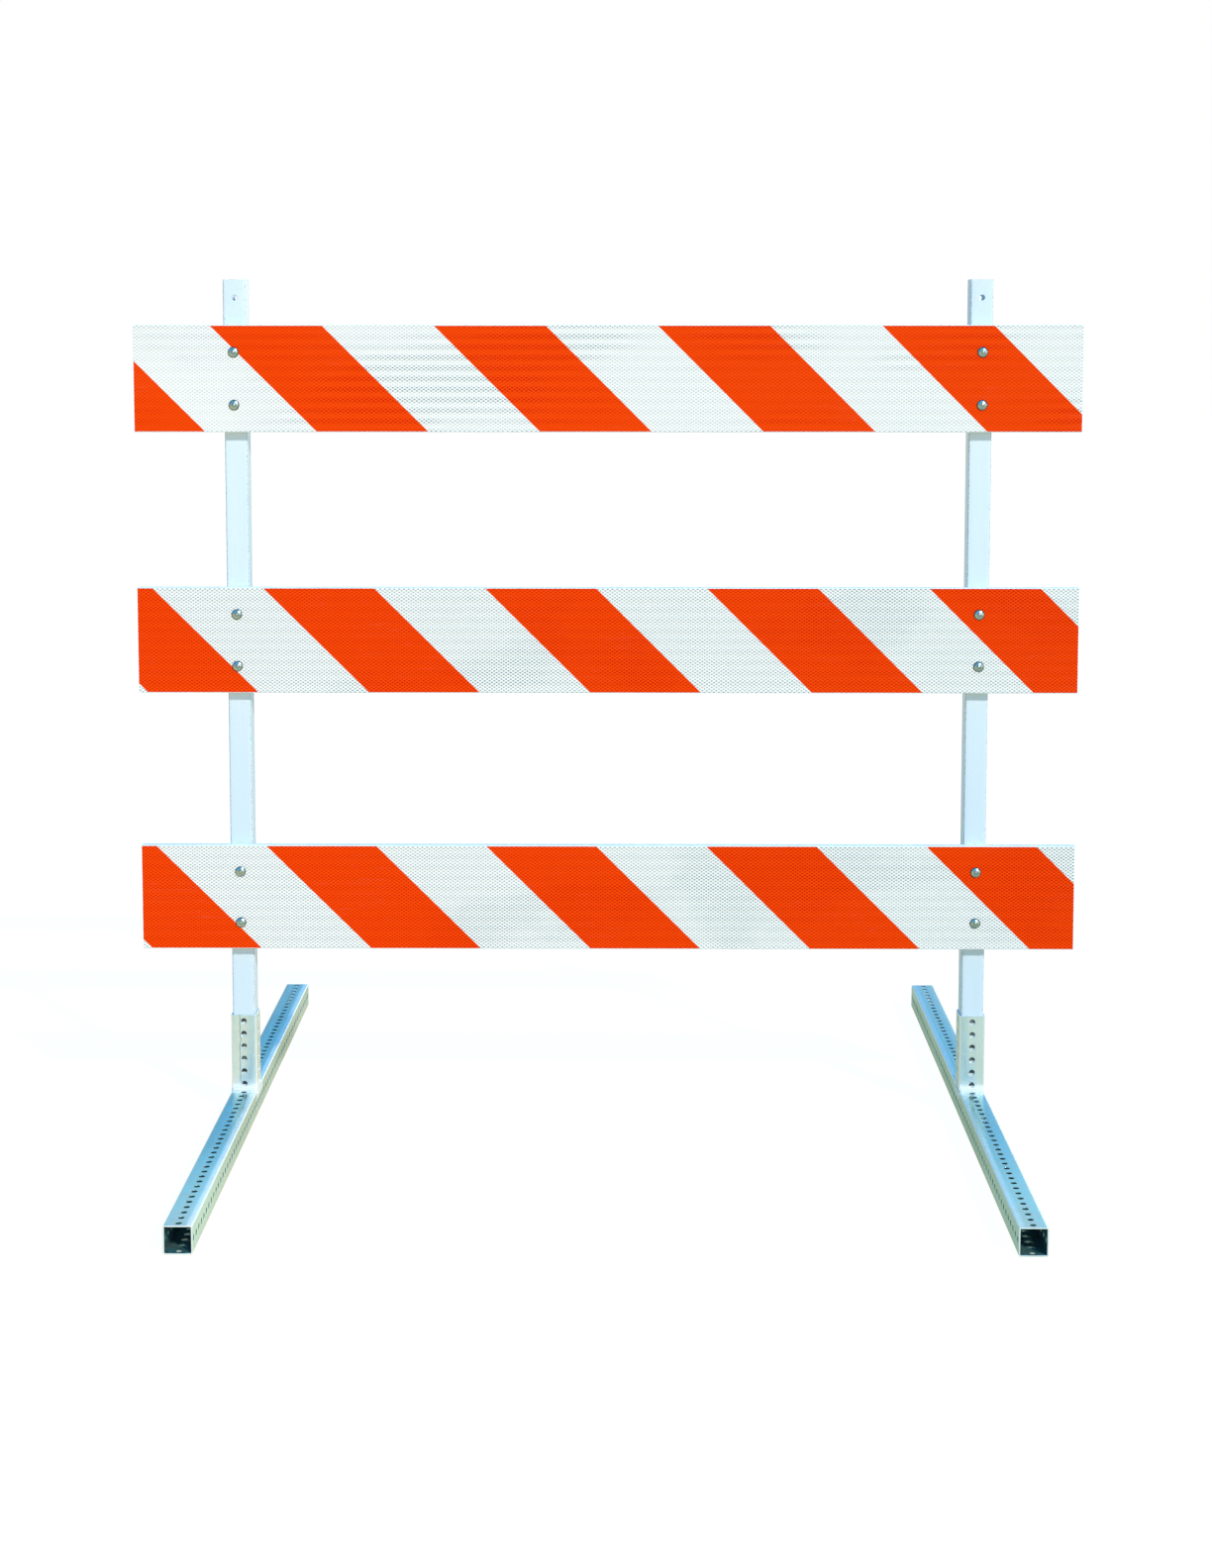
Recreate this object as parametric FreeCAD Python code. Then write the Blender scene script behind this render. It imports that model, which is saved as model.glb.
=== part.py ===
"""Type three barricade: three striped rails bolted to two square-tube uprights that drop into two feet.

Millimetres. +X runs along the rails, +Y points away from the striped faces and +Z is up. The origin is on
the ground, midway between the feet and under the middle of the uprights.

Each foot is a length of perforated square steel tube with a short socket of the same tube welded upright
on its middle. Each upright is the next smaller size of tube, so it slides down into its socket and stands on
the foot, and the whole frame lifts straight out of its feet. The rails are extruded hollow plastic boards,
faced with retroreflective sheeting in slanting stripes and held by two carriage bolts at each upright.
"""

import FreeCAD
import Part

import math
import os

from FreeCAD import Rotation, Vector

INCH = 25.4

# Rails
RAIL_LENGTH = 72 * INCH
RAIL_HEIGHT = 8.125 * INCH
RAIL_THICKNESS = 0.75 * INCH
RAIL_EDGE_RADIUS = 1.5
RAIL_SKIN = 2.2
RAIL_RIB = 1.8
RAIL_CELLS = 10
CELL_CORNER_RADIUS = 1.0
TOP_RAIL_CENTRE = 57.5 * INCH
RAIL_STEP = 20 * INCH

# Stripes. Each is 6 inches wide square across, slants at 45 degrees and falls towards +X.
STRIPE_ALONG_RAIL = 6 * INCH * math.sqrt(2)
SHEETING_THICKNESS = 0.4
SHEETING_HEIGHT = 8 * INCH
SHEETING_END_MARGIN = 1.0
# Where an orange stripe starts along the sheeting's top edge, measured from the rail's -X end
RAILS = {
    "top_rail": {"level": 0, "orange_start": 5.87 * INCH},
    "middle_rail": {"level": 1, "orange_start": 9.68 * INCH},
    "bottom_rail": {"level": 2, "orange_start": 9.68 * INCH},
}

# Uprights
UPRIGHT_SIDE = 1.75 * INCH
UPRIGHT_WALL = 0.083 * INCH
UPRIGHT_CORNER_RADIUS = 3.5
UPRIGHT_LENGTH = 63 * INCH
UPRIGHT_SPACING = 56.75 * INCH
LIGHT_HOLE_BELOW_TOP = 1.375 * INCH
BOLT_HOLE_DIAMETER = 13 / 32 * INCH

# Perforated tube of the feet
FOOT_SIDE = 2 * INCH
FOOT_WALL = 0.105 * INCH
FOOT_CORNER_RADIUS = 4.0
FOOT_LENGTH = 60 * INCH
SOCKET_HEIGHT = 6 * INCH
PERFORATION_DIAMETER = 7 / 16 * INCH
PERFORATION_PITCH = 1 * INCH

# Weld between foot and socket: fillets across the front and back, flare welds along the sides
FILLET_WELD_RADIUS = 4.5
SIDE_WELD_RADIUS = 3.0
SIDE_WELD_INSET = 0.8

# Three-eighths inch carriage bolts, flat washers and hex nuts
BOLT_LENGTH = 3.25 * INCH
BOLT_RADIUS = 3 / 16 * INCH
BOLT_HEAD_DIAMETER = 20.6
BOLT_HEAD_HEIGHT = 5.0
BOLT_NECK_SIDE = 9.8
BOLT_NECK_LENGTH = 5.5
BOLT_POINT_CHAMFER = 1.0
NECK_HOLE_SIDE = 10.0
BOLT_OFF_RAIL_CENTRE = 2 * INCH
WASHER_DIAMETER = 13 / 16 * INCH
WASHER_THICKNESS = 1.65
WASHER_BORE = 10.3
NUT_ACROSS_FLATS = 9 / 16 * INCH
NUT_HEIGHT = 8.3
NUT_BORE_CLEARANCE = 0.04
NUT_CHAMFER_DEPTH = 1.1

# Places that follow from the sizes above
SIDES = {"left": -UPRIGHT_SPACING / 2, "right": UPRIGHT_SPACING / 2}
UPRIGHT_FRONT = -UPRIGHT_SIDE / 2
UPRIGHT_BACK = UPRIGHT_SIDE / 2
UPRIGHT_BOTTOM = FOOT_SIDE
UPRIGHT_TOP = UPRIGHT_BOTTOM + UPRIGHT_LENGTH
RAIL_FRONT = UPRIGHT_FRONT - RAIL_THICKNESS
SHEETING_FRONT = RAIL_FRONT - SHEETING_THICKNESS

ALONG_X = Vector(1, 0, 0)
ALONG_Y = Vector(0, 1, 0)
ALONG_Z = Vector(0, 0, 1)


def rounded_bar(side, length, radius):
    """A solid square bar standing on the XY plane, centred on Z, with its four long edges rounded."""
    bar = Part.makeBox(side, side, length, Vector(-side / 2, -side / 2, 0))
    long_edges = [edge for edge in bar.Edges if abs(edge.Length - length) < 1e-6]
    return bar.makeFillet(radius, long_edges)


def square_tube(side, wall, length, radius):
    """A square tube standing on the XY plane, centred on Z."""
    bore = rounded_bar(side - 2 * wall, length, radius - wall)
    return rounded_bar(side, length, radius).cut(bore)


def through_holes(heights, diameter, reach, direction):
    """Cylinders right through a bar centred on Z, one at each height, along a horizontal direction."""
    starts = [ALONG_Z * height - direction * (reach / 2) for height in heights]
    return [Part.makeCylinder(diameter / 2, reach, start, direction) for start in starts]


def perforated_tube(length):
    """Perforated square tube standing on the XY plane: holes through all four walls, a pitch apart."""
    tube = square_tube(FOOT_SIDE, FOOT_WALL, length, FOOT_CORNER_RADIUS)
    count = round(length / PERFORATION_PITCH)
    heights = [(index + 0.5) * PERFORATION_PITCH for index in range(count)]
    for direction in (ALONG_X, ALONG_Y):
        tube = tube.cut(through_holes(heights, PERFORATION_DIAMETER, 2 * FOOT_SIDE, direction))
    return tube


def rounded_rectangle(low_y, high_y, low_z, high_z, radius):
    """A face in the YZ plane at X 0, with its four corners rounded: the end of a slab filleted along X."""
    width = high_y - low_y
    height = high_z - low_z
    slab = Part.makeBox(width, width, height, Vector(0, low_y, low_z))
    corner_edges = [edge for edge in slab.Edges if abs(edge.tangentAt(edge.FirstParameter).x) > 0.5]
    slab = slab.makeFillet(radius, corner_edges)
    return next(face for face in slab.Faces if face.BoundBox.XMax < radius / 2)


def rail_centre(level):
    """Height of the middle of a rail, counting levels down from the top rail."""
    return TOP_RAIL_CENTRE - level * RAIL_STEP


def bolt_heights(level):
    """Heights of the upper and the lower bolt of one rail."""
    centre = rail_centre(level)
    return [centre + BOLT_OFF_RAIL_CENTRE, centre - BOLT_OFF_RAIL_CENTRE]


def bolt_places(level):
    """The (x, z) of the four bolts of one rail."""
    return [(x, z) for x in SIDES.values() for z in bolt_heights(level)]


def neck_holes(level):
    """Square holes for the bolts' necks, through the sheeting and the rail's front skin."""
    depth = RAIL_THICKNESS / 2
    half = NECK_HOLE_SIDE / 2
    holes = []
    for x, z in bolt_places(level):
        corner = Vector(x - half, SHEETING_FRONT, z - half)
        holes.append(Part.makeBox(NECK_HOLE_SIDE, depth, NECK_HOLE_SIDE, corner))
    return holes


def rail_board(level):
    """Extruded hollow board: an outer skin and a ladder of ribs, open at both ends."""
    bottom = rail_centre(level) - RAIL_HEIGHT / 2
    top = bottom + RAIL_HEIGHT
    outline = rounded_rectangle(RAIL_FRONT, UPRIGHT_FRONT, bottom, top, RAIL_EDGE_RADIUS)
    inner_height = RAIL_HEIGHT - 2 * RAIL_SKIN
    cell_height = (inner_height - (RAIL_CELLS - 1) * RAIL_RIB) / RAIL_CELLS
    board = outline.extrude(ALONG_X * RAIL_LENGTH)
    for index in range(RAIL_CELLS):
        low = bottom + RAIL_SKIN + index * (cell_height + RAIL_RIB)
        high = low + cell_height
        front = RAIL_FRONT + RAIL_SKIN
        back = UPRIGHT_FRONT - RAIL_SKIN
        cell = rounded_rectangle(front, back, low, high, CELL_CORNER_RADIUS)
        board = board.cut(cell.extrude(ALONG_X * RAIL_LENGTH))
    board.translate(ALONG_X * (-RAIL_LENGTH / 2))
    shank_holes = []
    for x, z in bolt_places(level):
        start = Vector(x, RAIL_FRONT + RAIL_THICKNESS / 2, z)
        shank_holes.append(Part.makeCylinder(BOLT_HOLE_DIAMETER / 2, RAIL_THICKNESS, start, ALONG_Y))
    return board.cut(neck_holes(level) + shank_holes)


def sheeting(level, orange_start):
    """The rail's sheeting, as two lists of slanting panels laid edge to edge: white ones and orange ones."""
    bottom = rail_centre(level) - SHEETING_HEIGHT / 2
    top = bottom + SHEETING_HEIGHT
    left_end = -RAIL_LENGTH / 2
    length = RAIL_LENGTH - 2 * SHEETING_END_MARGIN
    corner = Vector(left_end + SHEETING_END_MARGIN, SHEETING_FRONT, bottom)
    sheet = Part.makeBox(length, SHEETING_THICKNESS, SHEETING_HEIGHT, corner).cut(neck_holes(level))
    panels = {"white": [], "orange": []}
    first = -math.ceil((orange_start + SHEETING_HEIGHT) / STRIPE_ALONG_RAIL)
    last = math.ceil((RAIL_LENGTH - orange_start) / STRIPE_ALONG_RAIL)
    for index in range(first, last):
        start = left_end + orange_start + index * STRIPE_ALONG_RAIL
        end = start + STRIPE_ALONG_RAIL
        corners = [
            Vector(start, SHEETING_FRONT, top),
            Vector(end, SHEETING_FRONT, top),
            Vector(end + SHEETING_HEIGHT, SHEETING_FRONT, bottom),
            Vector(start + SHEETING_HEIGHT, SHEETING_FRONT, bottom),
        ]
        outline = Part.makePolygon(corners + corners[:1])
        stripe = Part.Face(outline).extrude(ALONG_Y * SHEETING_THICKNESS)
        colour = "orange" if index % 2 == 0 else "white"
        panels[colour] += sheet.common(stripe).Solids
    return panels


def upright():
    """One upright, centred on X 0, with its bolt holes and the hole for a warning light."""
    tube = square_tube(UPRIGHT_SIDE, UPRIGHT_WALL, UPRIGHT_LENGTH, UPRIGHT_CORNER_RADIUS)
    tube.translate(ALONG_Z * UPRIGHT_BOTTOM)
    heights = [height for rail in RAILS.values() for height in bolt_heights(rail["level"])]
    reach = 2 * UPRIGHT_SIDE
    light_hole = [UPRIGHT_TOP - LIGHT_HOLE_BELOW_TOP]
    tube = tube.cut(through_holes(heights, BOLT_HOLE_DIAMETER, reach, ALONG_Y))
    return tube.cut(through_holes(light_hole, PERFORATION_DIAMETER, reach, ALONG_Y))


def foot_tube():
    """The part of the foot that lies on the ground, along Y."""
    tube = perforated_tube(FOOT_LENGTH)
    tube.translate(ALONG_Z * (-FOOT_LENGTH / 2))
    tube.rotate(Vector(0, 0, 0), ALONG_X, 90)
    tube.translate(ALONG_Z * (FOOT_SIDE / 2))
    return tube


def foot_socket():
    """The short upright tube that takes the upright."""
    tube = perforated_tube(SOCKET_HEIGHT)
    tube.translate(ALONG_Z * FOOT_SIDE)
    return tube


def foot_weld():
    """The weld round the bottom of the socket, outside both tubes."""
    half = FOOT_SIDE / 2
    flat = FOOT_SIDE - 2 * FOOT_CORNER_RADIUS
    beads = []
    for side in (-1, 1):
        start = Vector(-flat / 2, side * half, FOOT_SIDE)
        beads.append(Part.makeCylinder(FILLET_WELD_RADIUS, flat, start, ALONG_X))
        start = Vector(side * (half - SIDE_WELD_INSET), -flat / 2, FOOT_SIDE - SIDE_WELD_INSET)
        beads.append(Part.makeCylinder(SIDE_WELD_RADIUS, flat, start, ALONG_Y))
    foot = rounded_bar(FOOT_SIDE, FOOT_SIDE * 2, FOOT_CORNER_RADIUS)
    foot.translate(ALONG_Z * -FOOT_SIDE)
    foot.rotate(Vector(0, 0, 0), ALONG_X, 90)
    foot.translate(ALONG_Z * half)
    socket = rounded_bar(FOOT_SIDE, SOCKET_HEIGHT, FOOT_CORNER_RADIUS)
    socket.translate(ALONG_Z * FOOT_SIDE)
    return [solid for bead in beads for solid in bead.cut([foot, socket]).Solids]


def carriage_bolt(x, z):
    """A round-headed bolt with a square neck. Its head bears on the sheeting and it points along +Y."""
    head_radius = BOLT_HEAD_DIAMETER / 2
    crown_radius = (head_radius**2 + BOLT_HEAD_HEIGHT**2) / (2 * BOLT_HEAD_HEIGHT)
    crown_centre = Vector(0, 0, crown_radius - BOLT_HEAD_HEIGHT)
    head = Part.makeSphere(crown_radius, crown_centre)
    head = head.common(Part.makeCylinder(2 * head_radius, BOLT_HEAD_HEIGHT, Vector(0, 0, -BOLT_HEAD_HEIGHT)))
    half = BOLT_NECK_SIDE / 2
    neck = Part.makeBox(BOLT_NECK_SIDE, BOLT_NECK_SIDE, BOLT_NECK_LENGTH, Vector(-half, -half, 0))
    straight = BOLT_LENGTH - BOLT_POINT_CHAMFER
    shank = Part.makeCylinder(BOLT_RADIUS, straight)
    point = Part.makeCone(
        BOLT_RADIUS, BOLT_RADIUS - BOLT_POINT_CHAMFER, BOLT_POINT_CHAMFER, ALONG_Z * straight
    )
    bolt = head.fuse([neck, shank, point]).removeSplitter()
    bolt.Placement = FreeCAD.Placement(Vector(x, SHEETING_FRONT, z), Rotation(ALONG_X, -90))
    return bolt


def flat_washer(x, z):
    """A flat washer against the back of the upright."""
    start = Vector(x, UPRIGHT_BACK, z)
    disc = Part.makeCylinder(WASHER_DIAMETER / 2, WASHER_THICKNESS, start, ALONG_Y)
    return disc.cut(Part.makeCylinder(WASHER_BORE / 2, WASHER_THICKNESS, start, ALONG_Y))


def hex_nut(x, z):
    """A hex nut with chamfered corners, against its washer."""
    corner_radius = NUT_ACROSS_FLATS / math.sqrt(3)
    angles = [math.radians(60 * index + 30) for index in range(7)]
    corners = [Vector(corner_radius * math.cos(a), corner_radius * math.sin(a), 0) for a in angles]
    prism = Part.Face(Part.makePolygon(corners)).extrude(ALONG_Z * NUT_HEIGHT)
    straight = NUT_HEIGHT - NUT_CHAMFER_DEPTH
    blank = Part.makeCylinder(corner_radius, straight)
    cone_height = corner_radius * math.tan(math.radians(30))
    chamfer = Part.makeCone(corner_radius, 0, cone_height, ALONG_Z * straight)
    nut = prism.common(blank.fuse(chamfer))
    nut = nut.cut(Part.makeCylinder(BOLT_RADIUS + NUT_BORE_CLEARANCE, 3 * NUT_HEIGHT, ALONG_Z * -NUT_HEIGHT))
    place = Vector(x, UPRIGHT_BACK + WASHER_THICKNESS, z)
    nut.Placement = FreeCAD.Placement(place, Rotation(ALONG_X, -90))
    return nut


def at_side(shape, x):
    """A copy of a shape, moved along X to one of the uprights."""
    moved = shape.copy()
    moved.translate(ALONG_X * x)
    return moved


def make_nodes():
    """Every sub-part by name, each as a list of closed solids."""
    nodes = {}
    for name, rail in RAILS.items():
        level = rail["level"]
        nodes[f"{name}_board"] = [rail_board(level)]
        for colour, panels in sheeting(level, rail["orange_start"]).items():
            nodes[f"{name}_{colour}_sheeting"] = panels
        places = bolt_places(level)
        nodes[f"{name}_carriage_bolts"] = [carriage_bolt(x, z) for x, z in places]
        nodes[f"{name}_flat_washers"] = [flat_washer(x, z) for x, z in places]
        nodes[f"{name}_hex_nuts"] = [hex_nut(x, z) for x, z in places]
    makers = {
        "upright": upright(),
        "foot_tube": foot_tube(),
        "foot_socket": foot_socket(),
        "foot_weld": Part.makeCompound(foot_weld()),
    }
    for side, x in SIDES.items():
        for name, shape in makers.items():
            nodes[f"{side}_{name}"] = at_side(shape, x).Solids
    return nodes


def export(nodes):
    """Writes one STEP file for each node."""
    os.makedirs("parts", exist_ok=True)
    for name, solids in nodes.items():
        shape = solids[0] if len(solids) == 1 else Part.makeCompound(solids)
        shape.exportStep(f"parts/{name}.step")
        volume = sum(solid.Volume for solid in solids) / 1000
        valid = all(solid.isValid() for solid in solids)
        print(f"{name}: {len(solids)} solids, {volume:.1f} cm3, valid {valid}")


if __name__ == "__main__":
    export(make_nodes())
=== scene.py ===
# %% [markdown]
# # A type three barricade
# A road crew stands this barricade across a closed lane. Three striped rails are bolted to two square
# posts, and each post drops into a socket welded on a long foot of perforated steel tube.
#
# The CAD frame already fixes every size and place. This lesson builds a finished mesh for each piece in the
# same place, gives it its material, and fastens it to the body that it moves with.

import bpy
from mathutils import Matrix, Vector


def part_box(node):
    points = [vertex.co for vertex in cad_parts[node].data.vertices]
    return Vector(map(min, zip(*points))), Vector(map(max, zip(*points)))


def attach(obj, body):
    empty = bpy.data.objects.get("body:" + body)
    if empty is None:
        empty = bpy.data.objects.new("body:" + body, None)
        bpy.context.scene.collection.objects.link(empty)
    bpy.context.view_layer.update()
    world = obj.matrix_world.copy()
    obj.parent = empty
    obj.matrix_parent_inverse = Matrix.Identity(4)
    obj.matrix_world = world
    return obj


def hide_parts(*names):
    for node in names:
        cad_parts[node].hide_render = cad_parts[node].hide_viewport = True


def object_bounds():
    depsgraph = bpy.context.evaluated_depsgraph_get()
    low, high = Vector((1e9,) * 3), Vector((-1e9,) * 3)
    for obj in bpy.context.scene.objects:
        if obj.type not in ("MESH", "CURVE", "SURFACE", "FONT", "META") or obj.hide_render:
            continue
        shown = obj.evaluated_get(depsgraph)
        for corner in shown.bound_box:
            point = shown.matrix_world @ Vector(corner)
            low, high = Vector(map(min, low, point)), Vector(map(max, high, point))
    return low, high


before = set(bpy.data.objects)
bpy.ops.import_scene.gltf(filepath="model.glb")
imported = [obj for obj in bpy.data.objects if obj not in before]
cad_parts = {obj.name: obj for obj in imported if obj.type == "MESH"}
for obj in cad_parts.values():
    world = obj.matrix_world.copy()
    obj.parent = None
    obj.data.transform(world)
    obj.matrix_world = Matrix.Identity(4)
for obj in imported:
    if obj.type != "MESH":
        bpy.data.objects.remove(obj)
cad_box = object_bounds()

# %% [markdown]
# ## Modules and units
# Blender works in metres, but tube and bolts are sold in inches, and fine details are easier to read in
# millimetres. Two named units keep the sizes below readable.

# %% Modules and units
import math
import random

import bmesh
import bpy
import numpy as np
from mathutils import Matrix, Vector

MM = 0.001
INCH = 25.4 * MM
size = cad_box[1] - cad_box[0]
print("the barricade measures", [round(side, 3) for side in size], "m")

# %% [markdown]
# ## The camera
# A barricade is best shown square on, from about the height of the top rail and from far enough away that
# the rails look level. A long lens does that. The camera tips down a few degrees, and shifting the lens
# does the rest of bringing the feet into view, so that the posts stay nearly upright on the page.

# %% The camera
camera_data = bpy.data.cameras.new("catalogue_camera")
camera_data.sensor_width = 36
camera_data.lens = 55.85
camera_data.shift_y = -0.148
camera_data.clip_end = 100
camera = bpy.data.objects.new("catalogue_camera", camera_data)
camera.location = (0.027, -4.736, 1.550)
camera.rotation_euler = (math.radians(90 - 5.165), 0, math.radians(0.37))
bpy.context.scene.collection.objects.link(camera)
bpy.context.scene.camera = camera
print("camera", round((camera.location - Vector((0, 0, size.z / 2))).length, 2), "m from the barricade")

# %% [markdown]
# ## Grids, shells and pieces
# Tube walls, bolts, beads of weld and strips of film are all grids: rows of points joined by quads. So one
# helper adds a grid to a shell, and one turns a finished shell into a piece. Grids that share an edge are
# welded there by merging points that lie in the same place.
#
# Each point also carries a mark. On steel it says how near the point is to a worn edge, from 0 to 1, or
# below 0 where it is darkened as painted shade and grime. On the rails it says how far the wall sinks
# between two ribs. The materials read it as an attribute.

# %% Helpers for shells
MERGE_DISTANCE = 2e-6
SHARP_ANGLE = math.radians(32)


def new_shell():
    """An empty shell: points, faces, a mark for each point and a finish for each face."""
    return {"points": [], "faces": [], "marks": [], "finishes": []}


def add_grid(shell, grid, marks=0.0, wrap=False, finish=0):
    """Adds rows by columns of points, joined by quads. wrap joins the last column to the first."""
    rows, columns = grid.shape[:2]
    first = len(shell["points"])
    shell["points"].extend(grid.reshape(-1, 3).tolist())
    shell["marks"].extend(np.broadcast_to(marks, (rows, columns)).ravel().tolist())
    for row in range(rows - 1):
        for column in range(columns if wrap else columns - 1):
            after = (column + 1) % columns
            a, b = first + row * columns, first + (row + 1) * columns
            shell["faces"].append((a + column, a + after, b + after, b + column))
            shell["finishes"].append(finish)


print("points closer than", MERGE_DISTANCE, "m are merged")


# %% Helpers for pieces
def fill_openings(bm, finish):
    """Closes the cut face at each end, round its holes, with triangles of one finish."""
    rims = [edge for edge in bm.edges if edge.is_boundary]
    for side in (-1, 1):
        one_end = [edge for edge in rims if edge.verts[0].co.x * side > 0]
        made = bmesh.ops.triangle_fill(bm, use_beauty=True, edges=one_end, normal=(side, 0, 0))
        for item in made["geom"]:
            if isinstance(item, bmesh.types.BMFace):
                item.material_index = finish


def make_piece(name, shell, finishes, place=None, mark="worn", end_finish=None):
    """Welds a shell into one smooth-shaded object, and prints its faces and any edge left open."""
    mesh = bpy.data.meshes.new(name)
    mesh.from_pydata(shell["points"], [], shell["faces"])
    mesh.attributes.new(mark, "FLOAT", "POINT").data.foreach_set("value", shell["marks"])
    mesh.polygons.foreach_set("material_index", shell["finishes"])
    bm = bmesh.new()
    bm.from_mesh(mesh)
    bmesh.ops.remove_doubles(bm, verts=bm.verts, dist=MERGE_DISTANCE)
    if end_finish is not None:
        fill_openings(bm, end_finish)
    bmesh.ops.recalc_face_normals(bm, faces=bm.faces)
    open_edges = sum(not edge.is_manifold for edge in bm.edges)
    bm.to_mesh(mesh)
    bm.free()
    if place is not None:
        mesh.transform(place)
    mesh.shade_smooth()
    mesh.set_sharp_from_angle(angle=SHARP_ANGLE)
    for finish in finishes:
        mesh.materials.append(finish)
    piece = bpy.data.objects.new(name, mesh)
    bpy.context.scene.collection.objects.link(piece)
    print(f"{name}: {len(mesh.polygons)} faces, {open_edges} open edges")
    return piece


def fasten(piece, body, node):
    """Says what a piece moves with, and hides the CAD node that it stands for."""
    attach(piece, body)
    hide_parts(node)


print("edges sharper than", round(math.degrees(SHARP_ANGLE)), "degrees stay sharp")

# %% [markdown]
# ## Short words for shader nodes
# A material is a small machine of nodes. These helpers add a node and plug in its inputs on one line, so
# that the recipes below read as recipes. Effects that several materials need become node groups: a group
# takes named values and puts out masks and heights, and each material decides what to do with them.

# %% Helpers for nodes
def add_node(tree, kind, plugs=None, **settings):
    """Adds a node. Settings are its own choices. Plugs are inputs: a value, or the socket that feeds it."""
    made = tree.nodes.new(kind)
    for key, value in settings.items():
        setattr(made, key, value)
    for key, value in (plugs or {}).items():
        if isinstance(value, bpy.types.NodeSocket):
            tree.links.new(value, made.inputs[key])
        else:
            made.inputs[key].default_value = value
    return made


def calculate(tree, operation, *values):
    """One sum on numbers."""
    return add_node(tree, "ShaderNodeMath", dict(enumerate(values)), operation=operation).outputs[0]


def fade(tree, value, low, high, start=0.0, end=1.0):
    """Goes smoothly from start to end as value goes from low to high."""
    plugs = {"Value": value, "From Min": low, "From Max": high, "To Min": start, "To Max": end}
    return add_node(tree, "ShaderNodeMapRange", plugs, interpolation_type="SMOOTHSTEP").outputs["Result"]


def blend(tree, factor, colour, other):
    """Goes from one colour to another. A Mix node's colours are its inputs 6 and 7 and its output 2."""
    plugs = {0: factor, 6: colour, 7: other}
    return add_node(tree, "ShaderNodeMix", plugs, data_type="RGBA").outputs[2]


def noise(tree, where, scale, detail=3.0):
    """Cloudy noise from 0 to 1."""
    plugs = {"Vector": where, "Scale": scale, "Detail": detail, "Roughness": 0.55}
    return add_node(tree, "ShaderNodeTexNoise", plugs).outputs["Fac"]


def stretch(tree, where, factors):
    """Coordinates multiplied by a factor each way. A small factor draws a pattern out along that way."""
    plugs = {0: where, 1: factors}
    return add_node(tree, "ShaderNodeVectorMath", plugs, operation="MULTIPLY").outputs[0]


def object_place(tree):
    """Where a point is on the barricade, in metres."""
    return add_node(tree, "ShaderNodeTexCoord").outputs["Object"]


def split(tree, vector):
    """The X, Y and Z of a vector."""
    return add_node(tree, "ShaderNodeSeparateXYZ", {0: vector}).outputs


def facing(tree):
    """Which way the surface looks, as X, Y and Z."""
    return split(tree, add_node(tree, "ShaderNodeNewGeometry").outputs["Normal"])


def distance(tree, *ways):
    """How far a point is from a line, from how far it is each of two ways."""
    squares = [calculate(tree, "MULTIPLY", way, way) for way in ways]
    return calculate(tree, "SQRT", calculate(tree, "ADD", *squares))


def attribute(tree, name):
    """The mark that a mesh's points carry."""
    return add_node(tree, "ShaderNodeAttribute", attribute_name=name).outputs["Fac"]


print("node helpers ready")


# %% Helpers for groups and shaders
def new_group(name, inputs, outputs):
    """A node group with named inputs, number outputs and its two end nodes."""
    tree = bpy.data.node_groups.new(name, "ShaderNodeTree")
    for label, (kind, value) in inputs.items():
        socket = tree.interface.new_socket(name=label, in_out="INPUT", socket_type=kind)
        socket.default_value = value
    for label in outputs:
        tree.interface.new_socket(name=label, in_out="OUTPUT", socket_type="NodeSocketFloat")
    return tree, tree.nodes.new("NodeGroupInput").outputs, tree.nodes.new("NodeGroupOutput").inputs


NUMBER = "NodeSocketFloat"
VECTOR = "NodeSocketVector"


def place_group(tree, group, plugs):
    """Places a group in a material with its own values, and gives its outputs."""
    return add_node(tree, "ShaderNodeGroup", plugs, node_tree=group).outputs


def new_material(name, **constants):
    """A material with one Principled shader. Constants are set on the shader's own sockets."""
    material = bpy.data.materials.new(name)
    material.use_nodes = True
    shader = material.node_tree.nodes["Principled BSDF"]
    for key, value in constants.items():
        shader.inputs[key.replace("_", " ")].default_value = value
    return material, material.node_tree, shader.inputs


def plug(tree, socket, value):
    """Joins an output to a shader's input."""
    tree.links.new(value, socket)


def add_bump(tree, shader, height, depth, strength):
    """Turns a height into a surface normal."""
    plugs = {"Height": height, "Distance": depth, "Strength": strength}
    plug(tree, shader["Normal"], add_node(tree, "ShaderNodeBump", plugs).outputs["Normal"])


print("material helpers ready")

# %% [markdown]
# ## A group for worn edges
# Handling rubs metal and paint off the edges first. The mesh already marks its edges, so this group only
# has to break the mark up with noise, or every edge would wear evenly, as a line drawn round it.

# %% Group: worn edges
tree, given, result = new_group(
    "worn edges", {"Edge": (NUMBER, 0.0), "Grain": (NUMBER, 300.0), "Amount": (NUMBER, 0.5)}, ["Worn"]
)
cloud = noise(tree, object_place(tree), given["Grain"], detail=4.0)
rubbed = calculate(tree, "MULTIPLY", given["Edge"], given["Amount"])
ragged = calculate(tree, "ADD", rubbed, calculate(tree, "SUBTRACT", cloud, 0.5))
plug(tree, result["Worn"], fade(tree, ragged, 0.25, 0.55))
worn_edges = tree
print("group", tree.name, "has", len(tree.nodes), "nodes")

# %% [markdown]
# ## A group for fine scratches
# Everything here is stacked, dragged and thrown in trucks, so it carries fine scratches. A noise squeezed
# across and stretched along one way has long thin contour lines. Keeping only a narrow band of its values
# leaves hair lines, and a second, broader noise thins them out into patches.

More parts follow.
